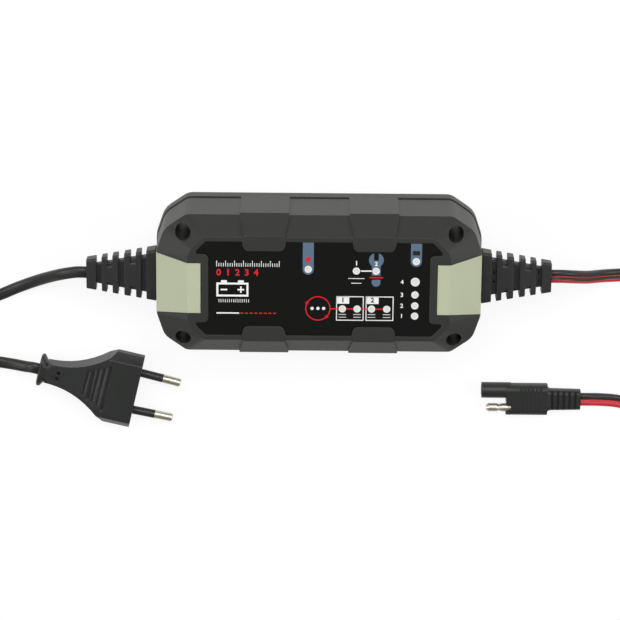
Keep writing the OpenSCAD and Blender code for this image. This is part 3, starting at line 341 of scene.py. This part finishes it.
# the real grain of these mouldings is too fine to show, so each is drawn coarser and deeper than it is
finishes = {
    # spark-eroded ABS: a fine dull grain that keeps every highlight broad and soft
    "coverPlastic": mouldedPlastic("spark_eroded_abs_charcoal", "#2D2E2A", rough=0.5, grainMm=0.45,
                                   grainDepthMm=0.045, specular=0.46, edgeMm=0.5),
    "basePlastic": mouldedPlastic("spark_eroded_abs_dark", "#2D2E2C", rough=0.5, grainMm=0.45,
                                  grainDepthMm=0.045, specular=0.46, edgeMm=0.4),
    # luminous polypropylene, moulded: chalky, a little uneven, with hardly any shine
    "padPlastic": mouldedPlastic("luminous_polypropylene_satin", "#BBC1A4", rough=0.6, grainMm=0.6,
                                 grainDepthMm=0.025, cloudMm=14, cloudBy=0.03),
    # polycarbonate film, printed on its back: even, smooth and darker than the case
    "labelFilm": mouldedPlastic("printed_polycarbonate_film", "#0F0F0E", rough=0.3, grainMm=0.9,
                                grainDepthMm=0.002, cloudMm=20, cloudBy=0.02, specular=0.4),
    # soft vinyl, moulded: dull, with a slight skin
    "softVinyl": mouldedPlastic("moulded_soft_vinyl", "#282928", rough=0.45, grainMm=0.5,
                                grainDepthMm=0.035),
    # hard vinyl, moulded: the same dull skin, with a thin line of light along its edges
    "plugVinyl": mouldedPlastic("moulded_hard_vinyl", "#262826", rough=0.45, grainMm=0.5,
                                grainDepthMm=0.035, edgeMm=0.22),
    # vinyl, extruded over the wires: a faint grain that follows the lead, and a low shine
    "cordVinyl": mouldedPlastic("extruded_black_vinyl_sheath", "#252524", rough=0.42, grainMm=1.2,
                                grainDepthMm=0.012, uvMap="alongLead"),
    "redVinyl": mouldedPlastic("extruded_red_vinyl", "#CC2E3A", rough=0.4, grainMm=1.2, grainDepthMm=0.01,
                               cloudMm=12, cloudBy=0.05, uvMap="alongLead"),
    # the black core's colour, also used for the painted shade of the groove on the red core
    "blackCoreAndGrooveShade": mouldedPlastic("extruded_black_vinyl_core_and_painted_groove_shade", "#2B2C2B", rough=0.4, grainMm=1.2,
                                     grainDepthMm=0.01, uvMap="alongLead"),
    # nylon, moulded: the dull strap of a cord tie
    "nylonStrap": mouldedPlastic("moulded_black_nylon", "#161616", rough=0.5, grainMm=0.6,
                                 grainDepthMm=0.02),
    # acrylic with a white pigment, moulded: milky windows over the lights
    "lightGuide": mouldedPlastic("milky_acrylic", "#E4E2E0", rough=0.34, grainMm=0.8, grainDepthMm=0.002,
                                 cloudMm=1.6, cloudBy=0.03),
    # screen ink: opaque, nearly flat colour with a slightly dry surface
    "whiteInk": mouldedPlastic("white_screen_ink", "#F8F8F6", rough=0.5, grainMm=0.3, grainDepthMm=0.002,
                               cloudMm=6, cloudBy=0.01),
    "redInk": mouldedPlastic("red_screen_ink", "#E0141C", rough=0.5, grainMm=0.3, grainDepthMm=0.002,
                             cloudMm=6, cloudBy=0.02),
    "blueInk": mouldedPlastic("slate_blue_screen_ink", "#5A7187", rough=0.5, grainMm=0.3,
                              grainDepthMm=0.002, cloudMm=6, cloudBy=0.02),
    "blackInk": mouldedPlastic("black_screen_ink", "#131312", rough=0.5, grainMm=0.3, grainDepthMm=0.002,
                               cloudMm=6, cloudBy=0.02),
    # brass, nickel plated: pale and a little yellow, its shine broken by fine handling marks
    "nickel": platedMetal("nickel_plated_brass", "#DEDACB", rough=0.42, streakMm=1.5, streakDepthMm=0.002),
    # brass, turned: a warm yellow with a clearer shine
    "brass": platedMetal("turned_brass", "#C7A450", rough=0.3, streakMm=1.5, streakDepthMm=0.003),
    # steel, zinc plated: grey with a dull sparkle
    "zincSteel": platedMetal("zinc_plated_steel", "#A9ABAE", rough=0.38, streakMm=0.8,
                             streakDepthMm=0.004),
    # aluminium, extruded: pale grey with a blurred, slightly rippled shine
    "aluminium": platedMetal("extruded_aluminium", "#B9BCC0", rough=0.4, streakMm=0.8,
                             streakDepthMm=0.005),
    # glass fibre board under solder mask: glossy green, faintly uneven
    "solderMask": mouldedPlastic("green_solder_mask", "#1F5B38", rough=0.35, grainMm=0.8,
                                 grainDepthMm=0.01),
    # epoxy compound, moulded: the dull black of chip housings
    "blackCompound": mouldedPlastic("moulded_epoxy_compound", "#18191B", rough=0.5, grainMm=0.4,
                                    grainDepthMm=0.01),
    # ferrite, sintered: dark grey and slightly gritty
    "ferrite": mouldedPlastic("sintered_ferrite", "#3B3C3F", rough=0.6, grainMm=0.3, grainDepthMm=0.02),
    # copper wire, enamelled and wound: warm brown, and the grain stands for its turns
    "enamelWire": mouldedPlastic("enamelled_copper_winding", "#B4682B", rough=0.35, grainMm=0.5,
                                 grainDepthMm=0.05),
    # polyester sleeve, shrunk over the can: smooth dark blue
    "canSleeve": mouldedPlastic("shrunk_polyester_sleeve", "#26364F", rough=0.35, grainMm=1.0,
                                grainDepthMm=0.005),
    # epoxy, dipped: smooth yellow with a soft shine
    "yellowFilm": mouldedPlastic("dipped_yellow_epoxy", "#C8A93A", rough=0.4, grainMm=1.0,
                                 grainDepthMm=0.01),
    # vinyl, extruded: plain coloured wire
    "blueWire": mouldedPlastic("extruded_blue_vinyl_wire", "#3A4FA0", rough=0.4, grainMm=1.0,
                               grainDepthMm=0.01),
    "redWire": mouldedPlastic("extruded_red_vinyl_wire", "#B8343F", rough=0.4, grainMm=1.0,
                              grainDepthMm=0.01),
    # silicone rubber, moulded: the dull black seal in the joint
    "siliconeSeal": mouldedPlastic("moulded_black_silicone", "#141414", rough=0.6, grainMm=0.8,
                                   grainDepthMm=0.01),
}
print("materials made:", len(finishes))

nodeFinish = {
    "coverPlastic": ["top_cover"],
    "basePlastic": ["bottom_cover"],
    "labelFilm": ["label_panel", "mode_button"],
    "plugVinyl": ["connector_body", "plug_pin_sleeves"],
    "lightGuide": ["light_guides", "display_leds"],
    "nickel": ["plug_pins", "connector_pin"],
    "brass": ["connector_socket"],
    "zincSteel": ["case_screws", "board_screws", "display_screws", "mode_switch"],
    "aluminium": ["heatsinks"],
    "solderMask": ["main_board", "display_board"],
    "blackCompound": ["switch_plunger", "board_header", "bridge_rectifier", "power_transistors",
                      "control_chips"],
    "ferrite": ["transformer_core"],
    "enamelWire": ["transformer_coil", "line_filter_choke"],
    "canSleeve": ["bulk_capacitor", "output_capacitors"],
    "yellowFilm": ["film_capacitor", "fuse"],
    "blueWire": ["inner_mains_wires"],
    "redWire": ["inner_dc_wires"],
    "siliconeSeal": ["case_gasket"],
}


def paint(piece, finish):
    piece.data.materials.clear()
    piece.data.materials.append(finishes[finish])


for finish, names in nodeFinish.items():
    for name in names:
        paint(nodes[name], finish)
mainsCord.data.materials.append(finishes["cordVinyl"])
for finish in ("redVinyl", "blackCoreAndGrooveShade"):
    twinCord.data.materials.append(finishes[finish])
print("finishes assigned")


def selectOnly(piece):
    bpy.ops.object.select_all(action="DESELECT")
    piece.select_set(True)
    bpy.context.view_layer.objects.active = piece


def applyModifier(piece, kind, **settings):
    modifier = piece.modifiers.new(kind.lower(), kind)
    for key, value in settings.items():
        setattr(modifier, key, value)
    selectOnly(piece)
    bpy.ops.object.modifier_apply(modifier=modifier.name)


# mouldings with their curves smooth and their edges rounded off: open is the radius in mm on outlines,
# closed the one inside slots, grooves and holes, fold the angle from which an edge is rounded, smooth the
# sharpest fold that counts as a curve, both in degrees, and merge the length in mm up to which a short edge
# is closed, so that it can't spoil the rounding beside it; an open of 0 only smooths the curves
padLook = {"slot": "pad", "finish": "padPlastic", "open": 0.35, "closed": 0, "fold": 14, "smooth": 24,
           "merge": 0.2}
reliefLook = {"slot": "soft_black", "finish": "softVinyl", "open": 0.3, "closed": 0.16, "fold": 40,
              "smooth": 36}
plugLook = {"slot": "plug_black", "finish": "plugVinyl", "open": 0, "smooth": 24}
strapLook = {"slot": "tie_black", "finish": "nylonStrap", "open": 0.25, "closed": 0, "fold": 14,
             "smooth": 24}
mouldings = {  # the node that each replaces, and its look
    "luminous_pad_left": ("end_pad_left", padLook),
    "luminous_pad_right": ("end_pad_right", padLook),
    "mains_relief": ("mains_strain_relief", reliefLook),
    "dc_relief": ("dc_strain_relief", reliefLook),
    "mains_plug": ("plug_body", plugLook),
    "mains_strap": ("mains_cord_tie", strapLook),
    "dc_strap": ("dc_lead_tie", strapLook),
}
rounding = {
    "weld": 1e-6,  # metres between points that are one
    "flat": 0.05,  # degrees between faces that are one
    "segments": 4,
    "clear": 2e-5,  # metres from an edge to the start of a ray, which then misses the edge's own faces
}


def edgeShares(mesh, look):
    # 1 for an edge of the outline, less where a wall faces it, 0 for flat, inner and hollow edges
    shape = bmesh.new()
    shape.from_mesh(mesh)
    shape.normal_update()
    solid = BVHTree.FromBMesh(shape)
    shares = []
    for edge in shape.edges:
        share = 0.0
        isFold = len(edge.link_faces) == 2 and edge.calc_face_angle() > math.radians(look["fold"])
        if isFold and edge.is_convex:
            middle = (edge.verts[0].co + edge.verts[1].co) / 2
            sides = [face.normal for face in edge.link_faces]
            outward = (sides[0] + sides[1]).normalized()
            start = middle + outward * rounding["clear"]
            if solid.ray_cast(start, outward)[0] is None:
                facing = any(solid.ray_cast(start, side)[0] is not None for side in sides)
                share = look["closed"] / look["open"] if facing else 1.0
        shares.append(share)
    shape.free()
    return shares


def roundedMoulding(name, node, look):
    mesh = nodes[node].data.copy()
    mesh.name = name
    for key in list(mesh.keys()):  # the marks that only the node's own mesh carries
        del mesh[key]
    piece = bpy.data.objects.new(name, mesh)
    bpy.context.scene.collection.objects.link(piece)
    selectOnly(piece)
    bpy.ops.object.mode_set(mode="EDIT")
    bpy.ops.mesh.select_all(action="SELECT")
    bpy.ops.mesh.remove_doubles(threshold=rounding["weld"])
    if look["open"]:
        bpy.ops.mesh.dissolve_limited(angle_limit=math.radians(rounding["flat"]))
    if "merge" in look:
        bpy.ops.mesh.remove_doubles(threshold=look["merge"] / 1000)
    bpy.ops.object.mode_set(mode="OBJECT")
    if look["open"]:
        weights = piece.data.attributes.new("bevel_weight_edge", "FLOAT", "EDGE")
        weights.data.foreach_set("value", edgeShares(piece.data, look))
        applyModifier(piece, "BEVEL", limit_method="WEIGHT", width=look["open"] / 1000,
                      segments=rounding["segments"], use_clamp_overlap=False)
    bpy.ops.object.shade_smooth_by_angle(angle=math.radians(look["smooth"]))
    applyModifier(piece, "WEIGHTED_NORMAL", keep_sharp=True)
    paint(piece, look["finish"])
    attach(piece, "charger")
    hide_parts(node)
    return piece


moulded = {name: roundedMoulding(name, node, look) for name, (node, look) in mouldings.items()}
print("mouldings rounded:", {name: len(piece.data.polygons) for name, piece in moulded.items()})

# faint raised bars across the connector's block, for grip
connectorBars = {
    "first": 0.0952,
    "pitch": 0.00182,
    "count": 6,
    "width": 0.0009,
    "height": 0.00016,
    "sunk": 0.0004,
    "margin": 0.0016,
    "edge": 0.0001,
    "edgeSegments": 2,
}


def addConnectorBars():
    bars = connectorBars
    low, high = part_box("connector_body")
    long = high[1] - low[1] - 2 * bars["margin"]
    tall = bars["sunk"] + bars["height"]
    bpy.ops.object.select_all(action="DESELECT")
    bpy.ops.mesh.primitive_cube_add(size=1, location=(
        bars["first"], (low[1] + high[1]) / 2, high[2] + bars["height"] - tall / 2))
    bar = bpy.context.object
    bar.name = "connector_bars"
    bar.scale = (bars["width"], long, tall)
    bpy.ops.object.transform_apply(location=True, rotation=True, scale=True)
    bpy.ops.object.mode_set(mode="EDIT")
    bpy.ops.mesh.select_all(action="SELECT")
    bpy.ops.mesh.bevel(offset=bars["edge"], segments=bars["edgeSegments"])
    for i in range(1, bars["count"]):
        bpy.ops.mesh.duplicate()
        bpy.ops.transform.translate(value=(bars["pitch"], 0, 0))
    bpy.ops.object.mode_set(mode="OBJECT")
    paint(bar, "plugVinyl")
    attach(bar, "charger")
    return bar


connectorGrip = addConnectorBars()


def declareLead(piece, replaced):
    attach(piece, "charger")
    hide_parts(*replaced)


declareLead(
    mainsCord,
    replaced=["mains_cord_gland_run", "mains_cord_coil", "mains_cord_plug_run"])
declareLead(
    twinCord,
    replaced=["dc_lead_gland_run", "dc_lead_coil", "dc_lead_connector_run"])

# the label's print, in mm from the middle of the case; ink stands a hair above the film, and a second coat
# above the first
labelPrint = {
    "film": 44.6,
    "sunk": 0.02,
    "coat": 0.04,
    "digitShare": 0.7,  # height of a digit as a share of its text's size
    "digitSteps": 4,
    "scale": {"from": -46, "to": -18, "pitch": 1.0, "low": 10.2, "line": 0.3, "short": 1.6, "long": 2.7,
              "longEvery": 4},
    "scaleNumbers": {"text": "01234", "from": -46, "pitch": 4.2, "low": 6.1, "height": 2.9, "bold": 0.12},
    "tallyMarks": {"from": -45, "to": -31.6, "pitch": 0.95, "low": -6.5, "line": 0.28, "high": 1.5},
    "batterySign": {
        "left": -46, "right": -31.6, "low": -3.8, "top": 2.7, "line": 0.9, "mark": 3.0, "markLine": 0.7,
        "poleIn": 3.4, "pole": {"wide": 2.6, "gap": 0.02, "high": 1.1},
    },
    "rule": {"left": -46, "right": -35.8, "at": -11.5, "line": 0.6},
    "dashes": {"from": -35.2, "to": -19.3, "pitch": 2.1, "at": -11.5, "long": 1.3, "line": 0.5},
    "lights": [  # middle and diameter of each
        (-4.9, 9.2, 3.6), (16.7, 8.6, 3.6), (25.5, 8.6, 3.6), (43.4, 13.2, 3.6),
        (43.1, 3.7, 4.3), (43.1, -2.3, 3.6), (43.1, -7.4, 3.6), (43.1, -12.2, 3.6),
        (10.6, -9.1, 3.6), (17.2, -9.1, 3.6), (23.7, -9.1, 3.6), (30.5, -9.1, 3.6),
    ],
    "modeLights": (8, 9, 10, 11),
    "lightRim": 0.34,
    "lightEdge": 0.17,  # how far the print runs over the edge of each window
    "faultTab": {"light": 0, "half": 2.46, "top": 21.6, "dot": (-4.9, 13.8, 1.15)},
    "batteryTab": {"light": 3, "half": 2.46, "top": 21.5, "sign": (43.4, 17.0, 3.2, 1.9), "poleOut": 0.9,
                   "pole": {"wide": 0.7, "gap": 0.01, "high": 0.25}},
    "spanner": {
        "light": 2, "at": (25.55, 13.7), "head": 3.32, "jaw": 1.05, "jawDeep": 13.5, "handle": 1.95,
        "handleLow": 6.5, "endTop": 4.6, "endLow": 1.35, "rule": (22.5, 28.7, 5.3, 5.85),
        "number": {"text": "2", "low": 11.1, "height": 1.8, "bold": 0.09},
    },
    "link": {
        "light": 1, "left": 18.5, "right": 23.7, "at": 8.6, "line": 0.6,
        "number": {"text": "1", "low": 11.2, "height": 2.1, "bold": 0.08},
        "captionLine": 0.3, "captions": ((5.1, 7.2), (2.9, 4.6)),  # height of each, and its length
    },
    "levels": {"right": 37.9, "height": 1.9, "bold": 0.06,
               "rows": ((3.69, "4"), (-2.29, "3"), (-7.39, "2"), (-12.2, "1"))},
    "ring": {"at": (-0.4, -9.0), "inner": 5.22, "outer": 5.72, "button": 5.0, "arrow": 0.95,
             "arrowTurn": 24, "arrowsAt": (157, 320)},
    "modeLine": {"at": -9.12, "line": 0.55,
                 "runs": ((5.4, 8.85), (12.35, 15.45), (18.95, 21.95), (25.45, 28.75))},
    "frames": {
        "low": -14.6, "top": -3.2, "line": 0.4, "spans": ((7.8, 20.15), (21.05, 33.55)), "tag": (5.8, 3.5),
        "numbers": "12", "numberUp": 0.75, "numberHeight": 2.1, "numberBold": 0.1,
        "captions": (-11.7, -13.0), "captionLong": 3.4, "captionLine": 0.25,
    },
    "buttonDots": {"across": 1.5, "pitch": 2.6, "count": 3},
    "weld": 1e-7,  # metres between points that are one
}
inkPieces = {"white": [], "red": [], "blue": [], "black": [], "button": [], "buttonRed": []}


def boxOutline(x0, y0, x1, y1):
    return [(x0, y0), (x1, y0), (x1, y1), (x0, y1)]


def frameOutlines(x0, y0, x1, y1, line):
    return [boxOutline(x0, y0, x1, y1), boxOutline(x0 + line, y0 + line, x1 - line, y1 - line)]


def strokeOutline(x0, x1, y, line):
    return boxOutline(x0, y - line / 2, x1, y + line / 2)


def poleOutline(x, top, pole):
    return boxOutline(x - pole["wide"] / 2, top + pole["gap"], x + pole["wide"] / 2, top + pole["high"])


def crossOutline(x, y, reach, half):
    # the same three corners at each arm
    corners = []
    for cos, sin in ((1, 0), (0, 1), (-1, 0), (0, -1)):
        for u, v in ((-half, -half), (-half, -reach), (half, -reach)):
            corners.append((x + u * cos - v * sin, y + u * sin + v * cos))
    return corners


def arcOutline(x, y, radius, start=0, stop=360, steps=40):
    full = abs(stop - start) >= 360
    angles = [math.radians(start + (stop - start) * i / steps) for i in range(steps + (0 if full else 1))]
    return [(x + radius * math.cos(a), y + radius * math.sin(a)) for a in angles]


def tabOutline(tab):
    x, y = labelPrint["lights"][tab["light"]][:2]
    half, top = tab["half"], tab["top"]
    return [(x + half, top), (x - half, top)] + arcOutline(x, y, half, start=180, stop=360, steps=20)


def lightOutline(light, grow):
    x, y, across = labelPrint["lights"][light]
    return arcOutline(x, y, across / 2 + grow)


def rowStarts(row):
    count = int((row["to"] - row["from"]) / row["pitch"]) + 1
    return [row["from"] + i * row["pitch"] for i in range(count)]


def finishInk(ink, colour):
    # a flat curve or text becomes a mesh first, and only then takes its place
    selectOnly(ink)
    bpy.ops.object.convert(target="MESH")
    ink = bpy.context.object
    bpy.ops.object.transform_apply(location=True, rotation=True, scale=True)
    inkPieces[colour].append(ink)


def inkDepth(coat):
    # half the ink's thickness, and the height of its middle, in metres
    top = labelPrint["film"] + labelPrint["coat"] * (coat + 1)
    low = labelPrint["film"] - labelPrint["sunk"]
    return (top - low) / 2000, (top + low) / 2000


def printShapes(colour, outlines, coat=0):
    half, middle = inkDepth(coat)
    curve = bpy.data.curves.new("ink", "CURVE")
    curve.dimensions = "2D"
    curve.fill_mode = "BOTH"
    curve.extrude = half
    for outline in outlines:
        spline = curve.splines.new("POLY")
        spline.points.add(len(outline) - 1)
        for point, (x, y) in zip(spline.points, outline):
            point.co = (x / 1000, y / 1000, 0, 1)
        spline.use_cyclic_u = True
    ink = bpy.data.objects.new("ink", curve)
    bpy.context.scene.collection.objects.link(ink)
    ink.location.z = middle
    finishInk(ink, colour)


def printNumber(colour, text, x, y, height, bold, align="LEFT", coat=0):
    half, middle = inkDepth(coat)
    bpy.ops.object.text_add(location=(x / 1000, y / 1000, middle))
    ink = bpy.context.object
    ink.data.body = text
    ink.data.size = height / 1000 / labelPrint["digitShare"]
    ink.data.align_x = align
    ink.data.offset = bold / 1000
    ink.data.extrude = half
    ink.data.resolution_u = labelPrint["digitSteps"]
    finishInk(ink, colour)


def printScale():
    scale, marks, rule = labelPrint["scale"], labelPrint["tallyMarks"], labelPrint["rule"]
    numbers, dashes = labelPrint["scaleNumbers"], labelPrint["dashes"]
    ticks = []
    for i, x in enumerate(rowStarts(scale)):
        high = scale["short"] if i % scale["longEvery"] else scale["long"]
        ticks.append(boxOutline(x, scale["low"], x + scale["line"], scale["low"] + high))
    for x in rowStarts(marks):
        ticks.append(boxOutline(x, marks["low"], x + marks["line"], marks["low"] + marks["high"]))
    ticks.append(strokeOutline(rule["left"], rule["right"], rule["at"], rule["line"]))
    printShapes("white", ticks)
    for i, digit in enumerate(numbers["text"]):
        x = numbers["from"] + i * numbers["pitch"]
        printNumber("red", digit, x, numbers["low"], numbers["height"], numbers["bold"])
    printShapes("red", [strokeOutline(x, x + dashes["long"], dashes["at"], dashes["line"])
                        for x in rowStarts(dashes)])


def printBatterySign():
    sign = labelPrint["batterySign"]
    middle, reach = (sign["low"] + sign["top"]) / 2, sign["mark"] / 2
    minusAt, plusAt = sign["left"] + sign["poleIn"], sign["right"] - sign["poleIn"]
    shapes = frameOutlines(sign["left"], sign["low"], sign["right"], sign["top"], sign["line"])
    shapes += [poleOutline(x, sign["top"], sign["pole"]) for x in (minusAt, plusAt)]
    shapes.append(strokeOutline(minusAt - reach, minusAt + reach, middle, sign["markLine"]))
    shapes.append(crossOutline(plusAt, middle, reach, sign["markLine"] / 2))
    printShapes("white", shapes)


def printTabs():
    fault, battery = labelPrint["faultTab"], labelPrint["batteryTab"]
    for tab in (fault, battery):
        printShapes("blue", [tabOutline(tab), lightOutline(tab["light"], -labelPrint["lightEdge"])])
    printShapes("red", [arcOutline(*fault["dot"])], coat=1)
    x, y, wide, high = battery["sign"]
    top, out = y + high / 2, battery["poleOut"]
    sign = [boxOutline(x - wide / 2, y - high / 2, x + wide / 2, top)]
    sign += [poleOutline(x + side, top, battery["pole"]) for side in (-out, out)]
    printShapes("black", sign, coat=1)


def printSpanner():
    spanner = labelPrint["spanner"]
    x, y = spanner["at"]
    head, jaw, handle = spanner["head"], spanner["jaw"], spanner["handle"]
    jawAngle = math.degrees(math.acos(jaw / head))
    neckAngle = math.degrees(math.acos(handle / head))
    outline = [(x - jaw, spanner["jawDeep"]), (x + jaw, spanner["jawDeep"])]
    outline += arcOutline(x, y, head, start=jawAngle, stop=-neckAngle, steps=20)
    outline += [(x + handle, spanner["handleLow"]), (x - handle, spanner["handleLow"])]
    outline += arcOutline(x, y, head, start=180 + neckAngle, stop=180 - jawAngle, steps=20)
    end = [(x + handle, spanner["endTop"]), (x - handle, spanner["endTop"])]
    end += arcOutline(x, spanner["endLow"] + handle, handle, start=180, stop=360, steps=16)
    printShapes("blue", [outline, lightOutline(spanner["light"], -labelPrint["lightEdge"]), end])
    left, right, low, top = spanner["rule"]
    printShapes("red", [boxOutline(left, low, right, top)])
    number = spanner["number"]
    printNumber("white", number["text"], x, number["low"], number["height"], number["bold"], "CENTER",
                coat=1)


def printLink():
    link = labelPrint["link"]
    x, number = labelPrint["lights"][link["light"]][0], link["number"]
    printNumber("white", number["text"], x, number["low"], number["height"], number["bold"], "CENTER")
    printShapes("white", [strokeOutline(link["left"], link["right"], link["at"], link["line"])])
    printShapes("white", [strokeOutline(x - long / 2, x + long / 2, row, link["captionLine"])
                          for row, long in link["captions"]])


def printLevels():
    levels = labelPrint["levels"]
    for row, digit in levels["rows"]:
        printNumber("white", digit, levels["right"], row - levels["height"] / 2, levels["height"],
                    levels["bold"], "RIGHT")


def printLightRims():
    # a pale rim inside each window's edge, and a black one round it where no blue shape holds the window
    edge, rim = labelPrint["lightEdge"], labelPrint["lightRim"]
    onBlue = [labelPrint[shape]["light"] for shape in ("faultTab", "batteryTab", "spanner")]
    for i in range(len(labelPrint["lights"])):
        printShapes("white", [lightOutline(i, -edge), lightOutline(i, -edge - rim)], coat=1)
        if i not in onBlue:
            printShapes("black", [lightOutline(i, edge), lightOutline(i, -edge)])


def onRing(radius, angle):
    x, y = labelPrint["ring"]["at"]
    return (x + radius * math.cos(math.radians(angle)), y + radius * math.sin(math.radians(angle)))


def printModeRing():
    ring = labelPrint["ring"]
    inner, outer, button = ring["inner"], ring["outer"], ring["button"]
    arrow, turn = ring["arrow"], ring["arrowTurn"]
    printShapes("red", [arcOutline(*ring["at"], radius, steps=64) for radius in (outer, inner)])
    # each arrow head lies partly on the film and partly on the button
    middle = (inner + outer) / 2
    share = (button - middle + arrow) / arrow
    onFilm = [[onRing(inner, at), onRing(middle + arrow, at), onRing(middle, at - turn)]
              for at in ring["arrowsAt"]]
    onButton = [[onRing(middle - arrow, at), onRing(button, at), onRing(button, at - share * turn)]
                for at in ring["arrowsAt"]]
    printShapes("red", onFilm, coat=1)
    printShapes("buttonRed", onButton)


def printModeFrames():
    frames, line = labelPrint["frames"], labelPrint["modeLine"]
    printShapes("red", [strokeOutline(a, b, line["at"], line["line"]) for a, b in line["runs"]], coat=1)
    low, top, thick = frames["low"], frames["top"], frames["line"]
    wide, high = frames["tag"]
    for number, (left, right) in zip(frames["numbers"], frames["spans"]):
        printShapes("white", frameOutlines(left, low, right, top, thick))
        printShapes("white", [boxOutline(left + thick / 2, top - high, left + wide, top - thick / 2)])
        printNumber("black", number, left + wide / 2 + thick / 4, top - high + frames["numberUp"],
                    frames["numberHeight"], frames["numberBold"], "CENTER", coat=1)
    half = frames["captionLong"] / 2
    for light in labelPrint["modeLights"]:
        x = labelPrint["lights"][light][0]
        printShapes("white", [strokeOutline(x - half, x + half, row, frames["captionLine"])
                              for row in frames["captions"]])


def printButtonDots():
    dots = labelPrint["buttonDots"]
    x, y = labelPrint["ring"]["at"]
    first = x - dots["pitch"] * (dots["count"] - 1) / 2
    printShapes("button", [arcOutline(first + i * dots["pitch"], y, dots["across"] / 2, steps=28)
                           for i in range(dots["count"])])


printScale()
printBatterySign()
printTabs()
printSpanner()
printLink()
printLevels()
printLightRims()
printModeRing()
printModeFrames()
printButtonDots()


def joinInk(name, colour, finish, body):
    bpy.ops.object.select_all(action="DESELECT")
    for ink in inkPieces[colour]:
        ink.select_set(True)
    bpy.context.view_layer.objects.active = inkPieces[colour][0]
    bpy.ops.object.join()
    piece = bpy.context.object
    piece.name = name
    bpy.ops.object.mode_set(mode="EDIT")
    bpy.ops.mesh.select_all(action="SELECT")
    bpy.ops.mesh.remove_doubles(threshold=labelPrint["weld"])
    bpy.ops.object.mode_set(mode="OBJECT")
    paint(piece, finish)
    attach(piece, body)


joinInk("label_print_white", "white", "whiteInk", "charger")
joinInk("label_print_red", "red", "redInk", "charger")
joinInk("label_print_blue", "blue", "blueInk", "charger")
joinInk("label_print_black", "black", "blackInk", "charger")
joinInk("button_print", "button", "whiteInk", "mode_button")
joinInk("button_arrows", "buttonRed", "redInk", "mode_button")
print("label printed")

# a white sweep under the charger, a broad lamp high beyond its top edge, one at each end, and a dim sky
studio = {
    "floorSize": 6,
    "floorAt": -0.0002,
    "paper": 0.9,
    "floorGlow": 1.05,  # what the camera and reflections see of the floor besides its shadow
    "glowShare": 0.83,
    "lamps": [  # place, size, watts
        ((0, 0.75, 1.3), (1.6, 0.7), 14.8),
        ((-1.2, 0, 0.9), (0.8, 0.8), 7.4),
        ((1.2, 0, 0.9), (0.8, 0.8), 7.4),
    ],
    "skyLow": 0.25,
    "skyHigh": 0.12,
    "skyFrom": 0.0,  # heights on a unit dome between which the sky darkens
    "skyTo": 0.35,
}


def layFloor():
    bpy.ops.mesh.primitive_plane_add(size=studio["floorSize"], location=(0, 0, studio["floorAt"]))
    floor = bpy.context.object
    floor.name = "floor"
    material, tree = newMaterial("white_paper_sweep")
    ray = addNode(tree, "ShaderNodeLightPath")
    either = addNode(tree, "ShaderNodeMath", {"operation": "MAXIMUM"},
                     {0: ray.outputs["Is Camera Ray"], 1: ray.outputs["Is Glossy Ray"]})
    seen = addNode(tree, "ShaderNodeMath", {"operation": "MAXIMUM"},
                   {0: either.outputs[0], 1: ray.outputs["Is Transmission Ray"]})
    share = addNode(tree, "ShaderNodeMath", {"operation": "MULTIPLY", 1: studio["glowShare"]},
                    {0: seen.outputs[0]})
    paper = addNode(tree, "ShaderNodeBsdfDiffuse", {"Color": [studio["paper"]] * 3 + [1]})
    glow = addNode(tree, "ShaderNodeEmission", {"Color": (1, 1, 1, 1), "Strength": studio["floorGlow"]})
    mixed = addNode(tree, "ShaderNodeMixShader", None,
                    {0: share.outputs[0], 1: paper.outputs["BSDF"], 2: glow.outputs["Emission"]})
    addNode(tree, "ShaderNodeOutputMaterial", None, {"Surface": mixed.outputs["Shader"]})
    floor.data.materials.append(material)


def softBox(place, size, watts):
    bpy.ops.object.light_add(type="AREA", location=place)
    lamp = bpy.context.object
    lamp.data.shape = "RECTANGLE"
    lamp.data.size, lamp.data.size_y = size
    lamp.data.energy = watts
    lamp.rotation_euler = (-Vector(place)).to_track_quat("-Z", "Y").to_euler()


def hangSky():
    world = bpy.data.worlds.new("studio")
    world.use_nodes = True
    tree = world.node_tree
    tree.nodes.clear()
    place = addNode(tree, "ShaderNodeTexCoord")
    axes = addNode(tree, "ShaderNodeSeparateXYZ", None, {0: place.outputs["Generated"]})
    level = addNode(tree, "ShaderNodeMapRange", {
        "interpolation_type": "SMOOTHSTEP", "From Min": studio["skyFrom"], "From Max": studio["skyTo"],
        "To Min": studio["skyLow"], "To Max": studio["skyHigh"]}, {"Value": axes.outputs["Z"]})
    sky = addNode(tree, "ShaderNodeBackground", {"Color": (1, 1, 1, 1)},
                  {"Strength": level.outputs["Result"]})
    addNode(tree, "ShaderNodeOutputWorld", None, {"Surface": sky.outputs["Background"]})
    bpy.context.scene.world = world


layFloor()
for lamp in studio["lamps"]:
    softBox(*lamp)
hangSky()
bpy.context.scene.view_settings.view_transform = "Standard"
print("floor and lights set")
